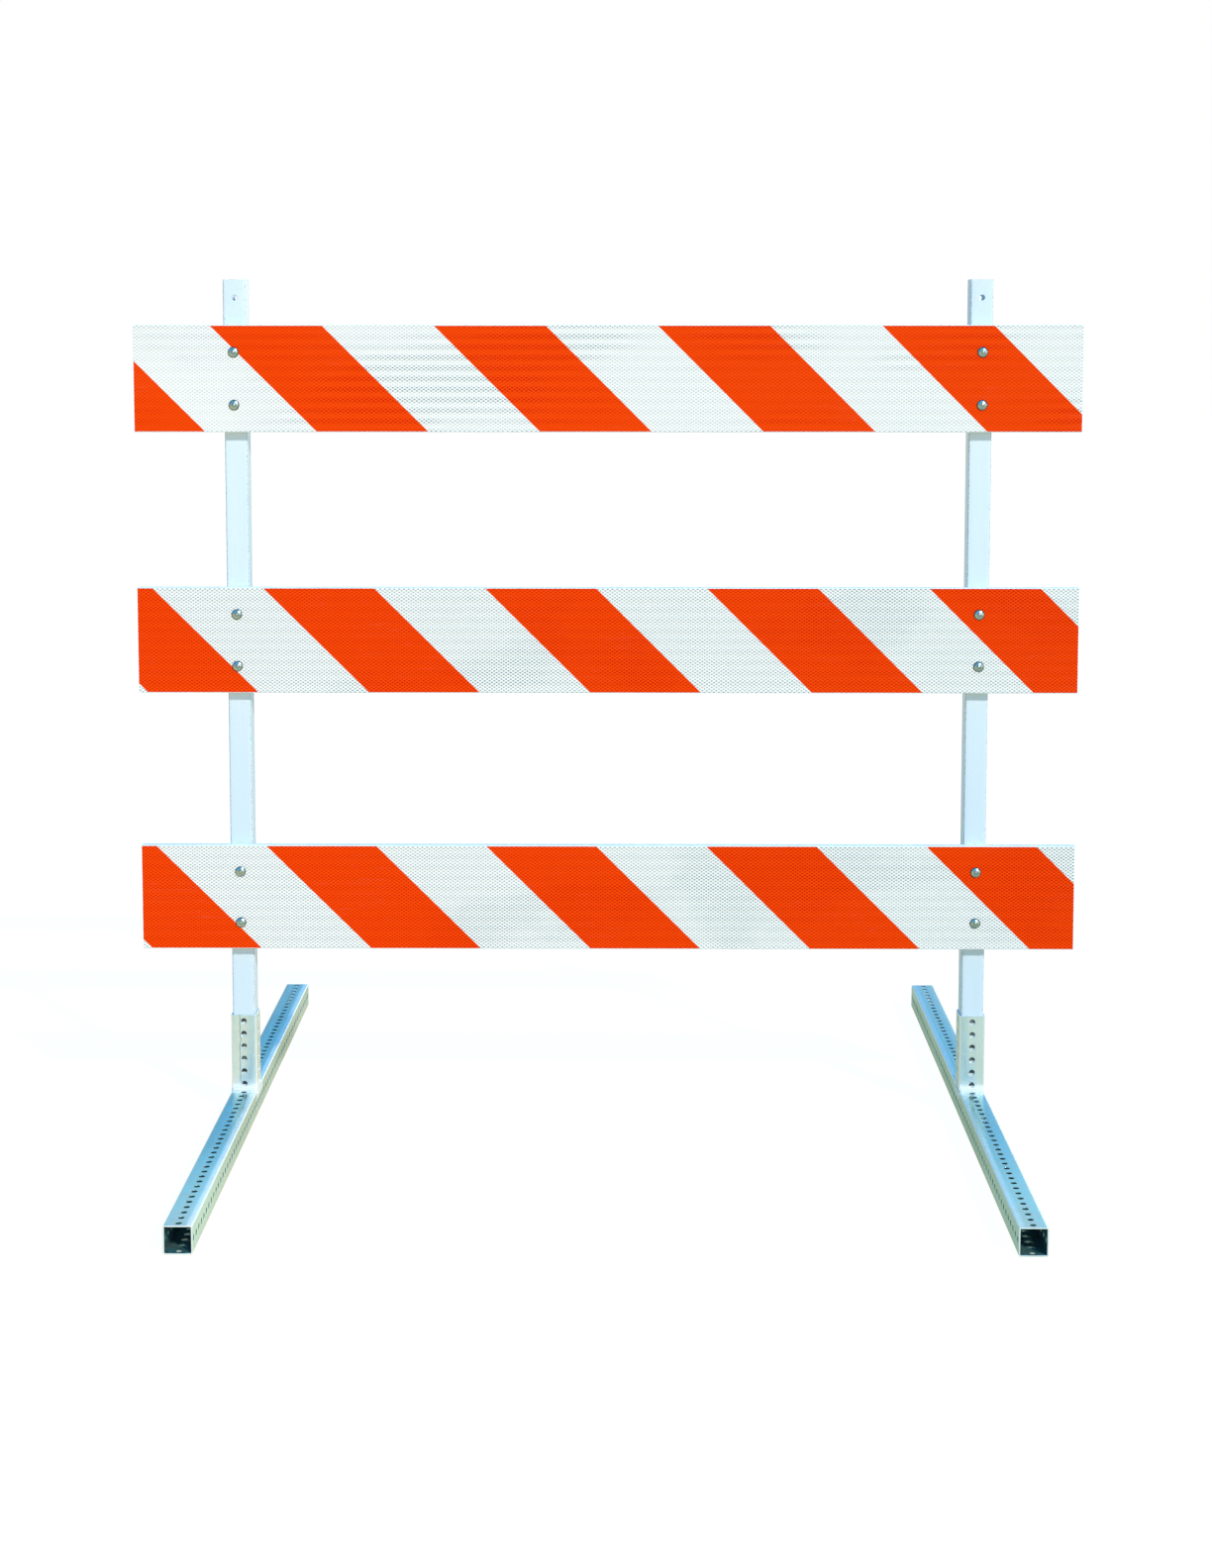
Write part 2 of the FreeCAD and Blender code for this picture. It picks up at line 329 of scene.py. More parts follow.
# %% Group: fine scratches
tree, given, result = new_group(
    "fine scratches",
    {"Stretch": (VECTOR, (1.0, 1.0, 1.0)), "Grain": (NUMBER, 120.0), "Amount": (NUMBER, 0.5)},
    ["Scratch"],
)
where = object_place(tree)
lines = noise(tree, stretch(tree, where, given["Stretch"]), given["Grain"], detail=1.0)
off_centre = calculate(tree, "ABSOLUTE", calculate(tree, "SUBTRACT", lines, 0.5))
hair = fade(tree, off_centre, 0.0, 0.012, 1.0, 0.0)
patches = fade(tree, noise(tree, where, 9.0), 0.45, 0.7)
kept = calculate(tree, "MULTIPLY", hair, patches)
plug(tree, result["Scratch"], calculate(tree, "MULTIPLY", kept, given["Amount"]))
fine_scratches = tree
print("group", tree.name, "has", len(tree.nodes), "nodes")

# %% [markdown]
# ## A group for road dust
# Dust settles on faces that look up and splashes up the lowest part of anything that stands on a road. The
# group puts out one mask from both, broken up by noise.

# %% Group: road dust
tree, given, result = new_group(
    "road dust", {"Splash height": (NUMBER, 0.12), "Amount": (NUMBER, 0.5)}, ["Dust"]
)
where = object_place(tree)
height = split(tree, where)["Z"]
settled = fade(tree, facing(tree)["Z"], 0.3, 1.0, 0.0, 0.6)
splashed = fade(tree, height, 0.0, given["Splash height"], 1.0, 0.0)
either = calculate(tree, "MAXIMUM", settled, splashed)
gaps = fade(tree, noise(tree, where, 35.0, detail=6.0), 0.35, 0.75)
patchy = calculate(tree, "MULTIPLY", either, gaps)
plug(tree, result["Dust"], calculate(tree, "MULTIPLY", patchy, given["Amount"]))
road_dust = tree
print("group", tree.name, "has", len(tree.nodes), "nodes")

# %% [markdown]
# ## A group for zinc crystals
# Hot zinc freezes into flat crystals, each with its own shine. On tube made from coated strip they are
# small and drawn out along the tube. Voronoi cells give one random value to each crystal, and a finer noise
# gives the frosty grain inside it.

# %% Group: zinc crystals
tree, given, result = new_group(
    "zinc crystals",
    {"Crystal size": (NUMBER, 5 * MM), "Stretch": (VECTOR, (1.0, 1.0, 1.0))},
    ["Tone", "Grain"],
)
where = object_place(tree)
fineness = calculate(tree, "DIVIDE", 1.0, given["Crystal size"])
warp = add_node(tree, "ShaderNodeTexNoise", {"Vector": where, "Scale": 180.0}).outputs["Color"]
plugs = {0: warp, "Scale": 2.5 * MM}
warp = add_node(tree, "ShaderNodeVectorMath", plugs, operation="SCALE").outputs[0]
bent = add_node(tree, "ShaderNodeVectorMath", {0: where, 1: warp}).outputs[0]
drawn = stretch(tree, bent, given["Stretch"])
cells = add_node(tree, "ShaderNodeTexVoronoi", {"Vector": drawn, "Scale": fineness}).outputs["Color"]
tone = add_node(tree, "ShaderNodeSeparateColor", {0: cells}).outputs[0]
plug(tree, result["Tone"], tone)
finer = calculate(tree, "MULTIPLY", fineness, 4.0)
plug(tree, result["Grain"], noise(tree, drawn, finer))
zinc_crystals = tree
print("group", tree.name, "has", len(tree.nodes), "nodes")

# %% [markdown]
# ## A group for the film's lattice
# Retroreflective film is clear plastic over rows of tiny prisms, sealed to its back layer along a lattice
# of lines. The sealed lines look pale and the open cells between them look darker. Two sets of slanting
# lines cross to make the lattice, and the distance from a cell's middle, counted in cells, says which is
# which.

# %% Group: film lattice
tree, given, result = new_group(
    "film lattice", {"Cell width": (NUMBER, 9.2 * MM), "Cell height": (NUMBER, 6.4 * MM)}, ["Cell", "Seal"]
)
where = split(tree, object_place(tree))
along = calculate(tree, "DIVIDE", where["X"], given["Cell width"])
up = calculate(tree, "DIVIDE", where["Z"], given["Cell height"])
offsets = []
for operation in ("ADD", "SUBTRACT"):
    slanted = calculate(tree, "FRACT", calculate(tree, operation, along, up))
    offsets.append(calculate(tree, "SUBTRACT", slanted, 0.5))
from_middle = distance(tree, *offsets)
plug(tree, result["Cell"], fade(tree, from_middle, 0.22, 0.44, 1.0, 0.0))
plug(tree, result["Seal"], fade(tree, from_middle, 0.40, 0.58))
film_lattice = tree
print("group", tree.name, "has", len(tree.nodes), "nodes")

# %% [markdown]
# ## A group for sprayed zinc and its painted highlight
# The welder grinds the coating off before welding and sprays zinc back on after, so beside the bead the
# surface is paler and duller. The band is painted near white, so it is also a painted highlight along the
# weld. The group measures how far a point is from the weld line in the YZ plane, lets noise push the
# border about, and fades from 1 beside the weld to 0 at its reach.

# %% Group: sprayed zinc and highlight
weld_line_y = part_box("left_foot_socket")[1].y
weld_line_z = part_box("left_foot_socket")[0].z
tree, given, result = new_group("sprayed zinc and highlight", {"Reach": (NUMBER, 38 * MM)}, ["Sprayed"])
where = object_place(tree)
parts = split(tree, where)
beyond = calculate(tree, "SUBTRACT", calculate(tree, "ABSOLUTE", parts["Y"]), weld_line_y)
sideways = calculate(tree, "MAXIMUM", beyond, 0.0)
above = calculate(tree, "SUBTRACT", parts["Z"], weld_line_z)
wander = calculate(tree, "MULTIPLY", noise(tree, where, 60.0), 12 * MM)
away = calculate(tree, "ADD", distance(tree, sideways, above), wander)
fully = calculate(tree, "MULTIPLY", given["Reach"], 0.10)
plug(tree, result["Sprayed"], fade(tree, away, fully, given["Reach"], 1.0, 0.0))
sprayed_zinc_and_highlight = tree
print("group", tree.name, "has", len(tree.nodes), "nodes")

# %% [markdown]
# ## A group for the painted edge highlight
# A painted highlight: a band along the top of each foot, beside its inner edge, is painted brighter and
# whiter than the rest, standing in for the sheen along that edge. It lies on faces that look up, and noise
# drawn out along the foot breaks up its border. The left foot shows more of it than the right, so the group
# takes an amount for each.

# %% Group: painted edge highlight
post_centre_x = (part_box("right_upright")[0].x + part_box("right_upright")[1].x) / 2
tree, given, result = new_group(
    "painted edge highlight", {"Left amount": (NUMBER, 0.8), "Right amount": (NUMBER, 0.4)}, ["Bright"]
)
where = object_place(tree)
parts = split(tree, where)
inward = calculate(tree, "SUBTRACT", post_centre_x, calculate(tree, "ABSOLUTE", parts["X"]))
breaks = noise(tree, stretch(tree, where, (1.0, 0.03, 1.0)), 60.0)
band = fade(tree, calculate(tree, "MULTIPLY_ADD", breaks, 8 * MM, inward), 15 * MM, 23 * MM)
upward = fade(tree, facing(tree)["Z"], 0.2, 0.7)
amount = fade(tree, parts["X"], -0.5, 0.5, given["Left amount"], given["Right amount"])
on_top = calculate(tree, "MULTIPLY", band, upward)
plug(tree, result["Bright"], calculate(tree, "MULTIPLY", on_top, amount))
painted_edge_highlight = tree
print("group", tree.name, "has", len(tree.nodes), "nodes")

# %% [markdown]
# ## Galvanised steel
# The feet are cut from galvanised tube. Most of its shine comes from the surroundings, so it is nearly all
# metal, and the crystals shift its tone and roughness. Some stretches mirror less and look paler, each by a
# mask that lightens the colour and lowers Metallic. The front ends of the feet are painted sheen, and the
# band along each foot's inner edge is a painted highlight. Beside the weld the zinc is sprayed, and that
# band is also a painted highlight. The white oxide on the sockets is their own.
#
# These colours lean to blue-green because they were chosen under this scene's own light.

# %% Material: galvanised steel
scratch_start_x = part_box("left_foot_socket")[0].x + 12 * MM


def wandering_scratch(tree):
    """One long scratch that wanders down the front of the left socket, beside its holes."""
    where = object_place(tree)
    wobble = noise(tree, stretch(tree, where, (0.0, 0.0, 1.0)), 55.0, detail=2.0)
    middle = calculate(tree, "MULTIPLY_ADD", wobble, 11 * MM, scratch_start_x)
    off_line = calculate(tree, "ABSOLUTE", calculate(tree, "SUBTRACT", split(tree, where)["X"], middle))
    line = fade(tree, off_line, 0.3 * MM, 0.9 * MM, 1.0, 0.0)
    return calculate(tree, "MULTIPLY", line, fade(tree, facing(tree)["Y"], -0.9, -0.6, 1.0, 0.0))


def galvanised_steel(name, along, bloom):
    """Galvanised tube that was drawn along X, Y or Z. Bloom is how far white oxide has spread over it."""
    draw_out = tuple(0.35 if way == along else 1.0 for way in "XYZ")
    streak_out = tuple(0.02 if way == along else 1.0 for way in "XYZ")
    material, tree, shader = new_material(name)
    crystals = place_group(tree, zinc_crystals, {"Crystal size": 4 * MM, "Stretch": draw_out})
    plugs = {"Stretch": streak_out, "Grain": 170.0, "Amount": 0.5}
    scratch = place_group(tree, fine_scratches, plugs)["Scratch"]
    plugs = {"Edge": attribute(tree, "worn"), "Grain": 400.0, "Amount": 0.8}
    worn = place_group(tree, worn_edges, plugs)["Worn"]
    dust = place_group(tree, road_dust, {"Splash height": 0.05, "Amount": 0.22})["Dust"]
    spray_and_highlight = place_group(tree, sprayed_zinc_and_highlight, {"Reach": 38 * MM})["Sprayed"]
    streaks = noise(tree, stretch(tree, object_place(tree), streak_out), 90.0)
    clouds = noise(tree, stretch(tree, object_place(tree), draw_out), 16.0)
    tone = calculate(tree, "MULTIPLY_ADD", crystals["Tone"], 0.16, calculate(tree, "MULTIPLY", streaks, 0.44))
    tone = calculate(tree, "MULTIPLY_ADD", clouds, 0.40, tone)
    colour = blend(tree, fade(tree, tone, 0.3, 0.7), (0.36, 0.58, 0.54, 1), (0.52, 0.76, 0.74, 1))
    # Painted sheen: the front ends of the feet are painted paler and made less metallic, standing in for
    # sheen.
    painted_front_sheen = fade(tree, split(tree, object_place(tree))["Y"], -0.72, -0.15, 0.75, 0.0)
    colour = blend(tree, painted_front_sheen, colour, (0.60, 0.88, 0.72, 1))
    oxide = fade(tree, clouds, 0.2, 0.8, 0.7 * bloom, bloom)
    colour = blend(tree, oxide, colour, (0.92, 0.91, 0.85, 1))
    # Painted highlight: a pale band along each foot's inner edge, stronger on the left foot.
    plugs = {"Left amount": 0.8, "Right amount": 0.4}
    inner_highlight = place_group(tree, painted_edge_highlight, plugs)["Bright"]
    colour = blend(tree, inner_highlight, colour, (0.90, 0.96, 0.97, 1))
    colour = blend(tree, worn, colour, (0.92, 0.97, 0.97, 1))
    if bloom:
        scratch = calculate(tree, "MAXIMUM", scratch, wandering_scratch(tree))
    colour = blend(tree, scratch, colour, (0.20, 0.29, 0.28, 1))
    colour = blend(tree, dust, colour, (0.44, 0.46, 0.34, 1))
    # Beside the weld: sprayed zinc, painted near white so that it is also a painted highlight.
    plug(tree, shader["Base Color"], blend(tree, spray_and_highlight, colour, (0.97, 0.96, 0.93, 1)))
    metal = calculate(tree, "MULTIPLY_ADD", oxide, -0.6, 0.90)
    metal = calculate(tree, "MULTIPLY_ADD", painted_front_sheen, -0.55, metal)
    metal = calculate(tree, "MULTIPLY_ADD", inner_highlight, -0.45, metal)
    under_spray = fade(tree, spray_and_highlight, 0.0, 1.0, 0.90, 0.10)
    plug(tree, shader["Metallic"], calculate(tree, "MINIMUM", metal, under_spray))
    roughness = fade(tree, tone, 0.3, 0.7, 0.22, 0.14)
    roughness = calculate(tree, "MULTIPLY_ADD", dust, 0.3, roughness)
    plug(tree, shader["Roughness"], calculate(tree, "MULTIPLY_ADD", spray_and_highlight, 0.15, roughness))
    height = calculate(tree, "SUBTRACT", crystals["Grain"], scratch)
    add_bump(tree, shader, height, 0.03 * MM, 0.25)
    return material


foot_steel = galvanised_steel("galvanised foot", "Y", 0.0)
socket_steel = galvanised_steel("galvanised socket", "Z", 0.62)
print("made", foot_steel.name, "and", socket_steel.name)

# %% [markdown]
# ## The inside of the tubes
# The bore of a foot or socket is dull, and its colour is painted dark blue-green as painted shade, standing
# in for the shade inside the tube; wet dirt lies in it too. This dark finish inside keeps the holes and the
# open ends deep. The posts are painted inside too, so their bores are pale, and the hole for the warning
# light looks bright instead of like a black dot.

# %% Material: tube bores
def bore_finish(name, low, high, grime, metallic):
    """The inside of a tube, between two colours, with grime lying in it."""
    material, tree, shader = new_material(name, Metallic=metallic)
    crystals = place_group(tree, zinc_crystals, {"Crystal size": 9 * MM})
    dust = place_group(tree, road_dust, {"Splash height": 0.03, "Amount": 0.7})["Dust"]
    colour = blend(tree, crystals["Tone"], low, high)
    plug(tree, shader["Base Color"], blend(tree, dust, colour, grime))
    plug(tree, shader["Roughness"], fade(tree, crystals["Tone"], 0.0, 1.0, 0.45, 0.65))
    add_bump(tree, shader, crystals["Grain"], 0.1 * MM, 0.5)
    return material


# Painted shade: the two dark colours of the feet's and sockets' bores stand in for the shade inside them.
dark, darkish, wet_dirt = (0.02, 0.09, 0.10, 1), (0.05, 0.18, 0.19, 1), (0.12, 0.15, 0.11, 1)
shaded_tube_bore = bore_finish("shaded tube bore", dark, darkish, wet_dirt, 0.4)
pale, paler, dry_dirt = (0.78, 0.88, 0.92, 1), (0.88, 0.95, 0.97, 1), (0.6, 0.6, 0.5, 1)
post_bore = bore_finish("painted post bore", pale, paler, dry_dirt, 0.0)
print("made", shaded_tube_bore.name, "and", post_bore.name)

# %% [markdown]
# ## Weld metal
# The bead lies under the sprayed zinc, so it is pale and only a little metallic, and darker at its toes.
# Its near-white colour is also a painted highlight, like the band beside it. The ripples are real geometry,
# so the material only adds colour and grit.

# %% Material: weld metal
weld_metal, tree, shader = new_material("weld metal", Metallic=0.2)
plugs = {"Edge": attribute(tree, "worn"), "Grain": 500.0, "Amount": 0.9}
toes = place_group(tree, worn_edges, plugs)["Worn"]
dust = place_group(tree, road_dust, {"Splash height": 0.07, "Amount": 0.3})["Dust"]
grit = noise(tree, object_place(tree), 900.0, detail=4.0)
# Near white: pale under the sprayed zinc, and also a painted highlight.
colour = blend(tree, fade(tree, grit, 0.35, 0.7), (0.80, 0.85, 0.85, 1), (0.94, 0.96, 0.96, 1))
colour = blend(tree, toes, colour, (0.55, 0.60, 0.58, 1))
plug(tree, shader["Base Color"], blend(tree, dust, colour, (0.40, 0.40, 0.35, 1)))
plug(tree, shader["Roughness"], fade(tree, grit, 0.3, 0.7, 0.34, 0.5))
add_bump(tree, shader, grit, 0.12 * MM, 0.6)
print("made", weld_metal.name)

# %% [markdown]
# ## White paint
# The posts have a cool white gloss coat. A gloss coat is never quite flat: it has orange peel, a fine
# ripple a few millimetres across. The coat is painted a little greyer and bluer towards the ground, as
# painted shade. The stretch that slides in and out of the socket is scored down to the steel and dark with
# grease, painted near black so that it is also painted shade behind the socket's holes. It shows only
# through those holes and when the frame is lifted. Behind the lower half of each of those holes it is
# painted lighter, a painted pool of sunlight, so that only the upper half stays dark.

# %% Material: white paint
HOLE_PITCH = 1 * INCH


def painted_hole_light(tree):
    """Painted light: 1 on the lower half of a disc behind each hole of the socket, where sun would reach in.
    """
    parts = split(tree, object_place(tree))
    above = calculate(tree, "SUBTRACT", parts["Z"], weld_line_z)
    turns = calculate(tree, "FRACT", calculate(tree, "DIVIDE", above, HOLE_PITCH))
    up = calculate(tree, "MULTIPLY", calculate(tree, "SUBTRACT", turns, 0.5), HOLE_PITCH)
    across = calculate(tree, "SUBTRACT", calculate(tree, "ABSOLUTE", parts["X"]), post_centre_x)
    disc = fade(tree, distance(tree, across, up), 5.6 * MM, 7.0 * MM, 1.0, 0.0)
    return calculate(tree, "MULTIPLY", disc, fade(tree, up, -3.0 * MM, -1.2 * MM, 1.0, 0.0))


white_paint, tree, shader = new_material("white post paint", Coat_Weight=0.25, Coat_Roughness=0.12)
where = object_place(tree)
height = split(tree, where)["Z"]
socket_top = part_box("left_foot_socket")[1].z
inside_socket = fade(tree, height, socket_top - 6 * MM, socket_top + 1 * MM, 1.0, 0.0)
amount = fade(tree, inside_socket, 0.0, 1.0, 0.35, 1.6)
plugs = {"Stretch": (1.0, 1.0, 0.03), "Grain": 260.0, "Amount": amount}
scored = place_group(tree, fine_scratches, plugs)["Scratch"]
plugs = {"Edge": attribute(tree, "worn"), "Grain": 350.0, "Amount": 0.55}
worn = place_group(tree, worn_edges, plugs)["Worn"]
dust = place_group(tree, road_dust, {"Splash height": 0.25, "Amount": 0.12})["Dust"]
tint = noise(tree, stretch(tree, where, (1.0, 1.0, 0.15)), 14.0)
colour = blend(tree, fade(tree, tint, 0.3, 0.7), (0.70, 0.78, 0.83, 1), (0.75, 0.82, 0.86, 1))
# Painted shade: the coat darkens and turns bluer towards the ground.
painted_shade_low = fade(tree, height, 1.45, 0.25, 0.0, 0.7)
colour = blend(tree, painted_shade_low, colour, (0.60, 0.70, 0.78, 1))
colour = blend(tree, dust, colour, (0.55, 0.54, 0.47, 1))
colour = blend(tree, calculate(tree, "MAXIMUM", scored, worn), colour, (0.42, 0.46, 0.46, 1))
smears = fade(tree, noise(tree, where, 50.0), 0.25, 0.6, 0.75, 1.0)
# Grease on the sliding stretch, painted near black so that it is also painted shade seen through the holes.
grease_and_shade = calculate(tree, "MULTIPLY", inside_socket, smears)
colour = blend(tree, grease_and_shade, colour, (0.022, 0.030, 0.030, 1))
# Painted light: the lower half behind each hole is lightened where the sun would reach in.
lit_hole_halves = calculate(tree, "MULTIPLY", painted_hole_light(tree), inside_socket)
colour = blend(tree, lit_hole_halves, colour, (0.62, 0.70, 0.68, 1))
plug(tree, shader["Base Color"], colour)
gloss = fade(tree, tint, 0.3, 0.7, 0.34, 0.26)
plug(tree, shader["Roughness"], calculate(tree, "MULTIPLY_ADD", scored, 0.3, gloss))
peel = noise(tree, where, 380.0, detail=1.0)
add_bump(tree, shader, calculate(tree, "SUBTRACT", peel, scored), 0.08 * MM, 0.5)
print("made", white_paint.name)

# %% [markdown]
# ## Rail plastic
# The boards are extruded white polyethylene, a waxy plastic that lets a little light in. The die leaves
# fine lines along the whole length. The saw leaves the ends rough and a little grey, so they have a finish
# of their own.

# %% Material: rail plastic
def rail_plastic(name, line_stretch, line_depth, low, high):
    """White polyethylene with lines drawn out one way, from the die or from the saw."""
    material, tree, shader = new_material(name, Subsurface_Weight=0.08, Subsurface_Scale=2 * MM)
    where = object_place(tree)
    lines = noise(tree, stretch(tree, where, line_stretch), 420.0)
    clouds = noise(tree, where, 5.0)
    plugs = {"Stretch": (0.03, 1.0, 1.0), "Grain": 160.0, "Amount": 0.4}
    scratch = place_group(tree, fine_scratches, plugs)["Scratch"]
    dust = place_group(tree, road_dust, {"Splash height": 0.3, "Amount": 0.22})["Dust"]
    colour = blend(tree, fade(tree, clouds, 0.3, 0.7), low, high)
    colour = blend(tree, scratch, colour, (0.55, 0.57, 0.57, 1))
    plug(tree, shader["Base Color"], blend(tree, dust, colour, (0.52, 0.50, 0.43, 1)))
    plug(tree, shader["Roughness"], fade(tree, lines, 0.3, 0.7, 0.42, 0.58))
    add_bump(tree, shader, calculate(tree, "SUBTRACT", lines, scratch), line_depth, 0.5)
    return material


DRAWN_LINES, SAWN_LINES = (0.004, 1.0, 1.0), (1.0, 1.0, 0.05)
clean = (0.80, 0.84, 0.85, 1), (0.86, 0.89, 0.90, 1)
greyed = (0.70, 0.73, 0.73, 1), (0.80, 0.83, 0.83, 1)
board_face = rail_plastic("board plastic", DRAWN_LINES, 0.05 * MM, *clean)
board_end = rail_plastic("sawn board end", SAWN_LINES, 0.25 * MM, *greyed)
print("made", board_face.name, "and", board_end.name)

# %% [markdown]
# ## Retroreflective film
# White and orange film are the same product under two inks, so one recipe makes both. The lattice darkens
# its cells, and how much changes over the rail: the top rail's film shows soft bands where it dips between
# the board's ribs, and clouds. On the two lower rails the lattice is fuller and more even. It is fainter at
# the left end, mostly on the top rail. A weak specular level keeps the ink's colour full.

# %% Material: retroreflective film
below_top_rail = (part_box("middle_rail_board")[1].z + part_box("top_rail_board")[0].z) / 2


def reflective_film(name, seal_colour, cell_colour):
    """Prismatic film, with the colour of its sealed lines and of its open cells."""
    material, tree, shader = new_material(name, Specular_IOR_Level=0.05)
    where = object_place(tree)
    lattice = place_group(tree, film_lattice, {})
    dipped = attribute(tree, "sunk")
    clouds = noise(tree, stretch(tree, where, (1.0, 1.0, 2.0)), 2.6)
    clouds = fade(tree, clouds, 0.40, 0.62, 0.55, 1.1)
    parts = split(tree, where)
    clouds = calculate(tree, "MULTIPLY", clouds, fade(tree, parts["X"], -0.75, -0.40, 0.7, 1.0))
    fuller = fade(tree, parts["Z"], below_top_rail - 0.05, below_top_rail + 0.05, 0.85, 0.0)
    clouds = calculate(tree, "MAXIMUM", clouds, fuller)
    band_floor = fade(tree, clouds, 0.45, 0.95, 0.85, 0.30)
    band_floor = calculate(tree, "MAXIMUM", band_floor, calculate(tree, "MULTIPLY", fuller, 0.95))
    bands = fade(tree, dipped, 0.0, 1.0, 1.0, band_floor)
    strength = calculate(tree, "MULTIPLY", clouds, bands)
    dust = place_group(tree, road_dust, {"Splash height": 0.3, "Amount": 0.1})["Dust"]
    plugs = {"Stretch": (0.03, 1.0, 1.0), "Grain": 150.0, "Amount": 0.04}
    scratch = place_group(tree, fine_scratches, plugs)["Scratch"]
    shade = calculate(tree, "MULTIPLY", lattice["Cell"], strength)
    colour = blend(tree, shade, seal_colour, cell_colour)
    colour = blend(tree, calculate(tree, "MAXIMUM", dust, scratch), colour, (0.60, 0.58, 0.52, 1))
    plug(tree, shader["Base Color"], colour)
    plug(tree, shader["Roughness"], fade(tree, lattice["Cell"], 0.0, 1.0, 0.42, 0.28))
    add_bump(tree, shader, lattice["Seal"], 0.06 * MM, 0.5)
    return material


white_film = reflective_film("white film", (0.94, 0.875, 0.81, 1), (0.24, 0.31, 0.32, 1))
orange_film = reflective_film("orange film", (0.93, 0.060, 0.0, 1), (0.60, 0.006, 0.0, 1))
print("made", white_film.name, "and", orange_film.name)

# %% [markdown]
# ## Zinc plate
# Bolts, washers and nuts are plated, so they are all metal, with a faint yellow and blue cast from the
# passivating bath. The groove in each bolt's crown and the rim round its head are darkened: painted shade,
# with grime where a hand never wipes. A mark below zero says where.

# %% Material: zinc plate
zinc_plate, tree, shader = new_material("zinc plate", Metallic=1.0)
where = object_place(tree)
mark = attribute(tree, "worn")
worn = place_group(tree, worn_edges, {"Edge": mark, "Grain": 900.0, "Amount": 0.7})["Worn"]
plugs = {"Stretch": (1.0, 1.0, 1.0), "Grain": 500.0, "Amount": 0.6}
scratch = place_group(tree, fine_scratches, plugs)["Scratch"]
cast = noise(tree, where, 110.0)
uneven = fade(tree, cast, 0.2, 0.6, 0.7, 1.0)
# Painted shade and grime in the crown's groove and round each head's rim.
grime = calculate(tree, "MULTIPLY", fade(tree, mark, -1.0, 0.0, 1.0, 0.0), uneven)
colour = blend(tree, fade(tree, cast, 0.35, 0.65), (0.40, 0.52, 0.53, 1), (0.54, 0.60, 0.50, 1))
colour = blend(tree, worn, colour, (0.86, 0.90, 0.90, 1))
colour = blend(tree, scratch, colour, (0.20, 0.25, 0.25, 1))
plug(tree, shader["Base Color"], blend(tree, grime, colour, (0.05, 0.085, 0.075, 1)))
plug(tree, shader["Roughness"], fade(tree, noise(tree, where, 700.0), 0.3, 0.7, 0.18, 0.30))
add_bump(tree, shader, scratch, 0.03 * MM, 0.4)
print("made", zinc_plate.name)

# %% [markdown]
# ## Square tube with holes
# Feet, sockets and posts are all square tube with rounded corners, and most of it is punched with holes.
# The tube could be a box with a boolean for every hole, but booleans leave ragged faces and sharp rims.
# Here the tube is built stretch by stretch instead. Each stretch has four corners and four walls, and a
# wall with a hole is a fan of rings that runs from a square outline into the round hole, over its rolled
# rim and out inside. The outer rings have the outside's finish, and a tube says how many of them are
# coated.

# %% The outline of a tube
WALL_STEPS = 6
CORNER_STEPS = 5
OUTSIDE, INSIDE = 0, 1
FRONT_AND_BACK = (1, 3)
ALL_WALLS = (0, 1, 2, 3)
RIM_ROLL = 0.9 * MM
DEBURR = 0.45 * MM


def square_ring():
    """Points round a square that reaches from -1 to 1, and the angle that each takes on a circle."""
    way = np.arange(WALL_STEPS) * 2 / WALL_STEPS - 1
    one = np.ones(WALL_STEPS)
    sides = [(way, -one), (one, way), (-way, one), (-one, -way)]
    ring = np.concatenate([np.stack(side, axis=1) for side in sides])
    return ring, np.arange(4 * WALL_STEPS) * math.tau / (4 * WALL_STEPS) - 0.75 * math.pi


def quarter_turns(x, y, turn):
    """Points turned about the tube's axis by quarter turns."""
    for _ in range(turn):
        x, y = -y, x
    return x, y


def stand(outline, heights, turn):
    """A flat outline repeated at each height and turned by quarter turns about the tube's axis."""
    x, y = quarter_turns(*np.asarray(outline).T, turn)
    rows = [np.stack([x, y, np.full(len(x), height)], axis=1) for height in heights]
    return np.array(rows)


def wall_and_corner(tube, inset):
    """A quarter of the outline: the wall that faces +X, and the corner that follows it."""
    flat = tube["side"] / 2 - tube["corner"]
    radius = tube["corner"] - inset
    wall = [(tube["side"] / 2 - inset, across) for across in np.linspace(-flat, flat, WALL_STEPS + 1)]
    bends = np.linspace(0, math.pi / 2, CORNER_STEPS + 1)
    corner = [(flat + radius * math.cos(bend), flat + radius * math.sin(bend)) for bend in bends]
    return wall, corner


print("a wall is", WALL_STEPS, "faces across and a corner", CORNER_STEPS)


# %% A wall with a hole
def hole_rings(tube, radius):
    """The rings of a punched hole, as radius, depth and wear, from the outer face to the inner one."""
    rings = [(radius + 2.4 * RIM_ROLL, 0.0, 0.0)]
    for bend in np.linspace(0, math.pi / 2, 4):
        rolled = RIM_ROLL * (1 - math.sin(bend))
        rings.append((radius + rolled, RIM_ROLL * (1 - math.cos(bend)), 0.2))
    rings.append((radius, tube["wall"] - 0.3 * MM, 0.0))
    rings.append((radius + 0.3 * MM, tube["wall"], 0.0))
    return rings


